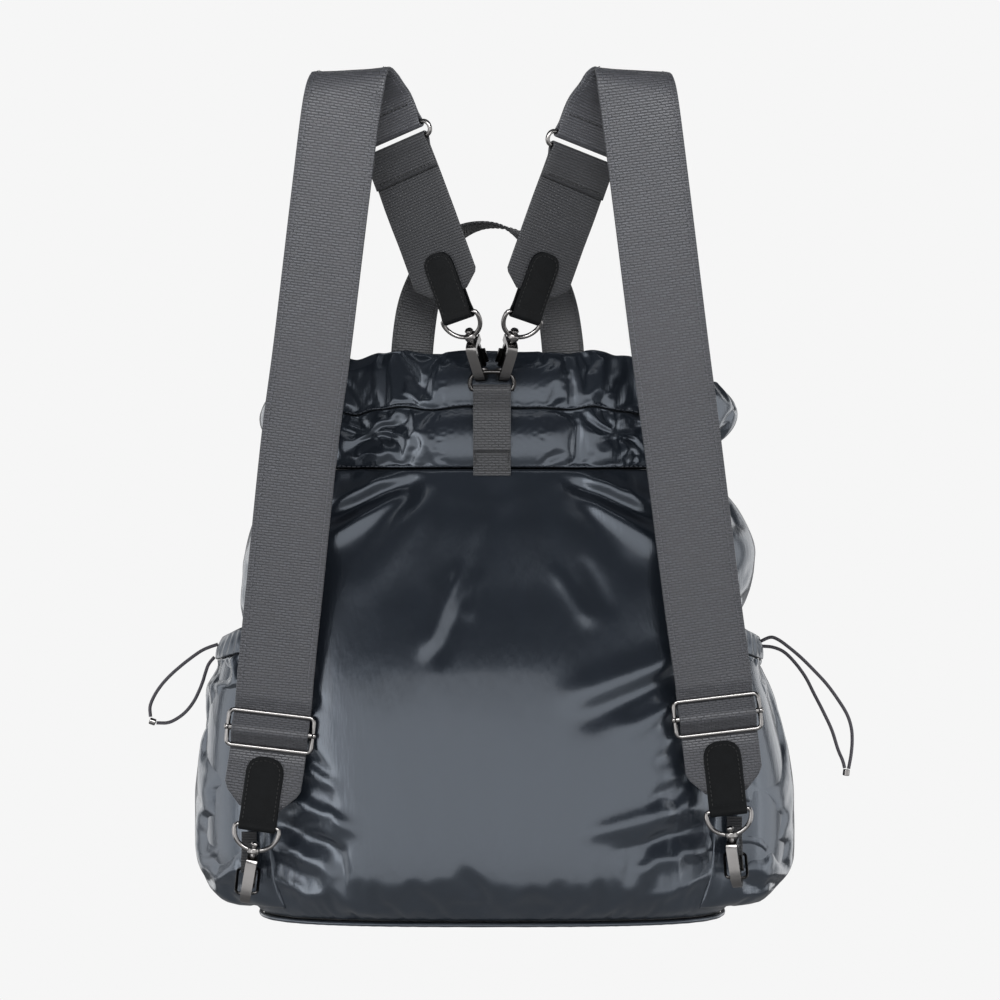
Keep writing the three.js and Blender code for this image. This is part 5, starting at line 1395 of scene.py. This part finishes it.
def turned(name, profile, axis, fitting, center=(0, 0, 0)):
    """A turned form: each (distance, radius) of the profile becomes a circle round the axis."""
    angle = np.arange(20) / 20 * 2 * math.pi
    distance, radius = (np.array(profile, float)[:, k, None] for k in (0, 1))
    distance = np.broadcast_to(distance, (len(profile), 20))
    circle = np.stack([distance, radius * np.cos(angle), radius * np.sin(angle)], -1)
    order = {"x": [0, 1, 2], "z": [2, 1, 0]}[axis]
    return lay_surface(name, placed(circle[..., order] + np.array(center, float), fitting), wrap_v=True, caps=True)


def join(name, pieces):
    """Joins pieces into the first one, under a new name."""
    bpy.ops.object.select_all(action="DESELECT")
    for piece in pieces:
        face_out(piece)
        piece.select_set(True)
    bpy.context.view_layer.objects.active = pieces[0]
    bpy.ops.object.join()
    pieces[0].name = pieces[0].data.name = name
    return pieces[0]


def ball(radius, steps=7, squash=1.0, shift=0.0):
    """Profile of a dome or ball end."""
    angle = np.linspace(0, math.pi / 2 - 0.08, steps)
    return [(shift + radius * squash * math.sin(a), radius * math.cos(a)) for a in angle]


def make_wires():
    """Sliders, strap rings, hook eyes and the centre ring, bent from plated wire."""
    m = web_measures()
    for side in ("left", "right"):
        fitting = "slider_" + side
        half_width, half_height = web_width() / 2 + 1.4 + SLIDER_WIRE / 2, (SLIDER_HEIGHT - SLIDER_WIRE) / 2
        frame_wire = bent_wire("w", rounded_path(half_width, half_height, 3.6, 8), SLIDER_WIRE, fitting)
        bar = turned("b", [(-half_width, BAR_WIRE / 2 - 0.2), (-half_width + 0.6, BAR_WIRE / 2),
                           (half_width - 0.6, BAR_WIRE / 2), (half_width, BAR_WIRE / 2 - 0.2)], "x", fitting)
        knobs = []
        for sign in (-1, 1):
            dome = [(half_width - 0.6, 2.1), (half_width + 0.8, 2.1)] + ball(2.1, 6, 0.7, half_width + 1.0)
            knobs.append(turned("k", [(sign * d, r) for d, r in dome], "x", fitting))
        slider = join("slider_metal_" + side, [frame_wire, bar] + knobs)
        finish_piece(slider, finish("gunmetal"), "pack", "gunmetal", [fitting])
        ring_round = m["ring_half"] - 0.4
        ring = bent_wire("ring_metal_" + side, rounded_path(web_width() / 2 + SEAT_GAP + ring_round, m["ring_half"],
                                                            ring_round, 10), RING_WIRE, "ring_" + side)
        finish_piece(ring, finish("gunmetal"), "pack", "gunmetal", ["ring_" + side])
        for level, width in (("lower", TAB_WIDTH_LOWER), ("upper", TAB_WIDTH_UPPER)):
            half = width / 2 + 2.4
            angle = np.radians(np.linspace(0, 180, 30))
            bow = np.stack([half * np.cos(angle), 0 * angle, -2.8 - (EYE_DROP - 2.8) * np.sin(angle)], axis=-1)
            bar_line = np.stack([np.linspace(-half + 1.6, half - 1.6, 12), np.zeros(12), np.zeros(12)], axis=-1)
            path = np.concatenate([bar_line, [[half - 0.5, 0, -0.7]], bow, [[-half + 0.5, 0, -0.7]]])
            fitting = "hook_eye_%s_%s" % (level, side)
            eye = bent_wire("e", path, EYE_WIRE, fitting)
            boss = turned("s", [(-2, 3.5), (-1.7, 4.0), (-1, 4.2), (1, 4.2), (1.7, 4.0), (2, 3.5)], "z", fitting,
                          (0, 0, -EYE_DROP))
            finish_piece(join("eye_metal_%s_%s" % (level, side), [eye, boss]), finish("gunmetal"), "pack", "gunmetal",
                         [fitting])
    half, drop = CENTER_TAPE_WIDTH / 2 + 0.6 + CENTER_WIRE / 2, CENTER_RING_HEIGHT - CENTER_WIRE
    angle = np.radians(np.linspace(0, 180, 33))
    x = half * np.sign(np.cos(angle)) * np.abs(np.cos(angle)) ** 0.7
    arch = np.stack([x, 0 * angle, -drop * 0.72 * (1 - np.sin(angle) ** 0.7)], axis=-1)
    base_line = np.stack([np.linspace(-half + 1.2, half - 1.2, 12), np.zeros(12), np.full(12, -drop)], axis=-1)
    ring = bent_wire("center_ring_metal", np.concatenate([base_line, arch]), CENTER_WIRE, "center_ring")
    finish_piece(ring, finish("black metal"), "pack", "black_metal", ["center_ring"])


def recut(node, name, finish_name, body, slot, bevel, angle=35):
    """A copy of a solid with its points merged, its triangles joined in pairs and its edges rounded; the cloth map
    runs along X and Z."""
    net = bmesh.new()
    net.from_mesh(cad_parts[node].data)
    bmesh.ops.remove_doubles(net, verts=net.verts, dist=2e-6)
    bmesh.ops.join_triangles(net, faces=net.faces, angle_face_threshold=0.05, angle_shape_threshold=3.1)
    mesh = bpy.data.meshes.new(name)
    net.to_mesh(mesh)
    net.free()
    map_cloth(mesh, vertex_places(mesh)[:, [0, 2]])
    made = place_mesh(name, mesh)
    mesh.set_sharp_from_angle(angle=math.radians(angle))
    edge = made.modifiers.new("edges", "BEVEL")
    edge.width, edge.segments, edge.limit_method, edge.angle_limit = bevel * MM, 3, "ANGLE", math.radians(angle)
    edge.harden_normals = True
    return dress(made, finish(finish_name), body, slot, [node])


def make_hooks():
    """Swivel hooks, their gates and the corner rings and tapes."""
    for side in ("left", "right"):
        for level in ("upper", "lower"):
            place = "_%s_%s" % (level, side)
            recut("hook_body" + place, "hook_metal" + place, "gunmetal", "pack", "gunmetal", 0.45)
            recut("hook_gate" + place, "gate_metal" + place, "black metal", "gate" + place, "black_metal", 0.3)
        recut("corner_ring_" + side, "corner_ring_metal_" + side, "black metal", "pack", "black_metal", 0.25, 25)
        recut("corner_tape_" + side, "corner_webbing_" + side, "dark webbing", "pack", "dark_webbing", 0.3)


def make_tapes():
    """The centre tape and the grab handle."""
    recut("center_tape", "center_webbing", "dark webbing", "pack", "dark_webbing", 0.35, 50)
    points = vertex_places(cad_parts["center_tape"].data) / MM
    levels = np.unique(np.round(points[:, 2], 1))
    nearest = np.array([points[np.abs(points[:, 2] - level) < 0.3, 1].min() for level in levels])
    z = np.linspace(WAIST_Z - 2.5, CENTER_RING_Z - 19, 40)
    up = np.stack([0 * z, np.interp(z, levels, nearest) - 0.1, z], axis=-1)
    x = np.linspace(-CENTER_TAPE_WIDTH / 2 + 1.8, CENTER_TAPE_WIDTH / 2 - 1.8, 20)
    rows = [up + [x[0], 0, 0], up + [x[-1], 0, 0]]
    for level in (-251.5, -248.6, -207.0):
        rows.append(np.stack([x, np.full(20, np.interp(level, levels, nearest) - 0.12), np.full(20, level)], axis=-1))
    place, along, normal = several_runs([(row, np.broadcast_to([0.0, -1.0, 0.0], row.shape)) for row in rows],
                                        TAPE_PITCH)
    sew("stitches_center", place, along, normal, 1.9, 0.32, finish("dark thread"), "pack", "dark_webbing")
    rows = np.array(HANDLE_TABLE, float)
    table = np.concatenate([np.arange(len(rows))[:, None], rows], axis=1)
    across, rise, yaw, back = read_table(table, np.linspace(0, len(rows) - 1, 150)).T
    base_z = WAIST_Z + SEAT_GAP + COLLAR_TIER + 1.5 + COLLAR_TIER
    base_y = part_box("grab_handle")[0].y / MM + HANDLE_THICK / 2
    points = np.stack([HANDLE_CENTER_X + across * HANDLE_SPAN, base_y + back, base_z + rise * HANDLE_RISE], axis=-1)
    run = unit(np.gradient(points, axis=0))
    level = unit(np.cross([0, 1, 0], run))
    turn = np.radians(yaw)[:, None]
    wide = level * np.cos(turn) + np.array([0, 1, 0]) * np.sin(turn)
    wide = unit(wide - run * np.sum(wide * run, axis=1, keepdims=True))
    handle = sweep("handle_webbing", points, wide, strip_profile(HANDLE_WIDTH / 2, HANDLE_THICK))
    finish_piece(handle, finish("dark webbing"), "pack", "dark_webbing", ["grab_handle"])
    facing = np.cross(wide, run)
    for number, sign in enumerate((-1, 1)):
        place, along, normal = several_runs(
            [((points + wide * lateral + sign * facing * (HANDLE_THICK / 2 + 0.12))[12:-12], (sign * facing)[12:-12])
             for lateral in (-11.2, 11.2)], HANDLE_PITCH)
        sew("stitches_handle_%d" % number, place, along, normal, 2.1, 0.3, finish("dark thread"), "pack",
            "dark_webbing")


def make_cords():
    """Elastic cords of the pocket mouths, each a tube along its route."""
    for name, route in CORD_ROUTES.items():
        path = smooth_path(route, 1.6)
        across = np.broadcast_to([0.0, 1.0, 0.0], path.shape)
        cord = sweep("shock_" + name, path, across, round_profile(CORD_DIAMETER / 2, 12))
        around = np.arange(12) / 12 * math.pi * CORD_DIAMETER
        run = run_of(path)
        map_cloth(cord.data, np.stack(np.broadcast_arrays(around, run[:, None]), axis=-1).reshape(-1, 2) * MM)
        finish_piece(cord, finish("cord"), "pack", "cord", [name])


def make_crimps():
    """Metal crimps that close each pair of cords."""
    for side in ("left", "right"):
        recut("crimp_" + side, "crimp_metal_" + side, "gunmetal", "pack", "gunmetal", 0.5, 50)


# Studio: the camera's place across and up, in metres, and the colour of the dim surroundings
CAMERA_X = 0.0053
CAMERA_Z = -0.2711
SURROUNDINGS = (0.10, 0.105, 0.115, 1)


def seen_or_lit(tree, lighting, seen, output):
    """Ends a tree with one shader that lights the pack and another that the camera sees."""
    path = add_node(tree, "ShaderNodeLightPath")
    mix = add_node(tree, "ShaderNodeMixShader", links={0: path.outputs["Is Camera Ray"], 1: lighting.outputs[0],
                                                       2: seen.outputs[0]})
    add_node(tree, output, links={"Surface": mix.outputs[0]})


def make_stage():
    """Camera, paper sweep, world and softboxes."""
    scene = bpy.context.scene
    studio = settings().studio
    eye = bpy.data.cameras.new("camera")
    eye.lens, eye.sensor_width = studio.lens, 36.0
    camera = bpy.data.objects.new("camera", eye)
    camera.location = (CAMERA_X, -studio.distance, CAMERA_Z)
    camera.rotation_euler = (math.pi / 2, 0, 0)
    scene.collection.objects.link(camera)
    scene.camera = camera
    scene.view_settings.view_transform = "Standard"
    scene.view_settings.look = "None"

    paper = bpy.data.materials.new("matt_paper")
    paper.use_nodes = True
    tree = paper.node_tree
    tree.nodes.clear()
    grain = noise(tree, (60, 60, 60), 4.0)
    sheet = add_node(tree, "ShaderNodeBsdfDiffuse",
                     links={"Color": vary(tree, scaled(studio.paper, 0.47), scaled(studio.paper, 0.49), grain)})
    lit = add_node(tree, "ShaderNodeEmission", {"Color": (*studio.paper, 1), "Strength": 1.0})
    seen_or_lit(tree, sheet, lit, "ShaderNodeOutputMaterial")
    floor_z, reach, bend = -1500.0, 3000.0, 800.0
    angle = np.radians(np.linspace(0, 90, 16))
    profile = np.concatenate([[[-reach, floor_z]], np.stack([reach - bend + bend * np.sin(angle),
                                                             floor_z + bend - bend * np.cos(angle)], -1),
                              [[reach, floor_z + reach]]])
    x = np.linspace(-4000, 4000, 5)
    grid = np.stack(np.broadcast_arrays(x[:, None], profile[:, 0], profile[:, 1]), axis=-1)
    floor = lay_surface("paper_sweep", grid)
    floor.data.materials.append(paper)

    world = bpy.data.worlds.new("studio")
    world.use_nodes = True
    scene.world = world
    tree = world.node_tree
    tree.nodes.clear()
    dim = add_node(tree, "ShaderNodeBackground", {"Color": SURROUNDINGS, "Strength": 1.0})
    pale = add_node(tree, "ShaderNodeBackground", {"Color": (*studio.paper, 1), "Strength": 1.0})
    seen_or_lit(tree, dim, pale, "ShaderNodeOutputWorld")

    # Softboxes: name, place, point it faces, width, height, radiance
    harness = bpy.data.collections.new("harness_lit")
    for name, place, target, width, height, radiance in (
            ("front_softbox", (-0.45, -1.85, -0.93), (-0.45, 0.0, -0.93), 4.2, 1.8, 1.6),
            ("left_low_softbox", (-1.6, -1.5, -0.55), (-0.1, 0.1, -0.4), 1.2, 1.4, 2.0),
            ("right_low_softbox", (1.9, -1.2, -0.6), (0.1, 0.1, -0.4), 1.2, 1.4, 1.4),
            ("left_strip", (-1.5, -0.1, -0.35), (0.0, 0.08, -0.35), 1.0, 1.6, 1.9),
            ("right_strip", (1.5, -0.1, -0.35), (0.0, 0.08, -0.35), 1.0, 1.6, 1.9),
            ("left_rim", (-1.5, 1.3, -0.3), (0.0, 0.1, -0.3), 1.2, 1.8, 1.6),
            ("right_rim", (1.5, 1.3, -0.3), (0.0, 0.1, -0.3), 1.2, 1.8, 1.6),
            ("high_strip", (0.0, -1.2, 1.15), (0.0, 0.05, -0.2), 1.8, 0.14, 2.0),
            ("harness_softbox", (0.0, -0.85, 0.12), (0.0, 0.0, -0.1), 1.0, 0.3, 17.0)):
        lamp = bpy.data.lights.new(name, "AREA")
        lamp.shape, lamp.size, lamp.size_y = "RECTANGLE", width, height
        lamp.energy = radiance * math.pi * width * height
        light = bpy.data.objects.new(name, lamp)
        light.location = place
        light.rotation_euler = (Vector(target) - Vector(place)).to_track_quat("-Z", "Y").to_euler()
        scene.collection.objects.link(light)
        if name == "harness_softbox":
            light.light_linking.receiver_collection = harness


# Operators
class BACKPACK_OT_studio(bpy.types.Operator):
    """Camera, paper sweep, world and softboxes."""

    bl_idname = "backpack.studio"
    bl_label = "Studio"

    def execute(self, context):
        make_stage()
        return {"FINISHED"}


class BACKPACK_OT_cords(bpy.types.Operator):
    """The elastic cords of the pocket mouths and their crimps."""

    bl_idname = "backpack.cords"
    bl_label = "Pocket cords"

    def execute(self, context):
        make_crimps()
        make_cords()
        return {"FINISHED"}


class BACKPACK_OT_body(bpy.types.Operator):
    """The padded sack."""

    bl_idname = "backpack.body"
    bl_label = "Body"

    def execute(self, context):
        make_body()
        return {"FINISHED"}


class BACKPACK_OT_collar(bpy.types.Operator):
    """The two gathered collar tiers and their seams."""

    bl_idname = "backpack.collar"
    bl_label = "Collar"

    def execute(self, context):
        make_collar()
        return {"FINISHED"}


class BACKPACK_OT_pockets(bpy.types.Operator):
    """The side pockets and their cuffs."""

    bl_idname = "backpack.pockets"
    bl_label = "Pockets"

    def execute(self, context):
        make_pockets()
        return {"FINISHED"}


class BACKPACK_OT_base(bpy.types.Operator):
    """The base panel and its corded seam."""

    bl_idname = "backpack.base"
    bl_label = "Base"

    def execute(self, context):
        make_base()
        return {"FINISHED"}


class BACKPACK_OT_straps(bpy.types.Operator):
    """Long and short shoulder straps with their sewing."""

    bl_idname = "backpack.straps"
    bl_label = "Straps"

    def execute(self, context):
        make_straps()
        return {"FINISHED"}


class BACKPACK_OT_tabs(bpy.types.Operator):
    """The leather tabs and their stitches."""

    bl_idname = "backpack.tabs"
    bl_label = "Leather tabs"

    def execute(self, context):
        make_tabs()
        return {"FINISHED"}


class BACKPACK_OT_tapes(bpy.types.Operator):
    """The centre tape and the grab handle."""

    bl_idname = "backpack.tapes"
    bl_label = "Tapes and handle"

    def execute(self, context):
        make_tapes()
        return {"FINISHED"}


class BACKPACK_OT_wires(bpy.types.Operator):
    """Sliders, rings, eyes and the centre ring."""

    bl_idname = "backpack.wires"
    bl_label = "Wire fittings"

    def execute(self, context):
        make_wires()
        return {"FINISHED"}


class BACKPACK_OT_hooks(bpy.types.Operator):
    """Swivel hooks, gates and corner anchors."""

    bl_idname = "backpack.hooks"
    bl_label = "Hooks"

    def execute(self, context):
        make_hooks()
        return {"FINISHED"}


class BACKPACK_PT_panel(bpy.types.Panel):
    """Sidebar panel with the settings and one button for each group of pieces."""

    bl_idname = "BACKPACK_PT_panel"
    bl_label = "Backpack"
    bl_space_type = "VIEW_3D"
    bl_region_type = "UI"
    bl_category = "Backpack"

    def draw(self, context):
        column = self.layout.column()
        for group in (settings().shell, settings().harness, settings().colours, settings().studio):
            for name in group.bl_rna.properties.keys():
                if name not in ("rna_type", "name"):
                    column.prop(group, name)
        for operator in OPERATORS:
            column.operator(operator.bl_idname)


OPERATORS = (
    BACKPACK_OT_studio,
    BACKPACK_OT_cords,
    BACKPACK_OT_body,
    BACKPACK_OT_collar,
    BACKPACK_OT_pockets,
    BACKPACK_OT_base,
    BACKPACK_OT_straps,
    BACKPACK_OT_tabs,
    BACKPACK_OT_tapes,
    BACKPACK_OT_wires,
    BACKPACK_OT_hooks,
)
GROUPS = (ShellSizes, HarnessSizes, Colours, StudioSizes, BackpackSettings)


def register():
    """Adds the settings, the operators and the panel."""
    for each in GROUPS + OPERATORS + (BACKPACK_PT_panel,):
        bpy.utils.register_class(each)
    bpy.types.Scene.backpack = bpy.props.PointerProperty(type=BackpackSettings)


def unregister():
    """Takes them away again."""
    del bpy.types.Scene.backpack
    for each in reversed(GROUPS + OPERATORS + (BACKPACK_PT_panel,)):
        bpy.utils.unregister_class(each)


def main():
    """Builds the whole pack in its studio."""
    register()
    for operator in OPERATORS:
        getattr(bpy.ops.backpack, operator.bl_idname.split(".")[1])()


if __name__ == "__main__":
    main()
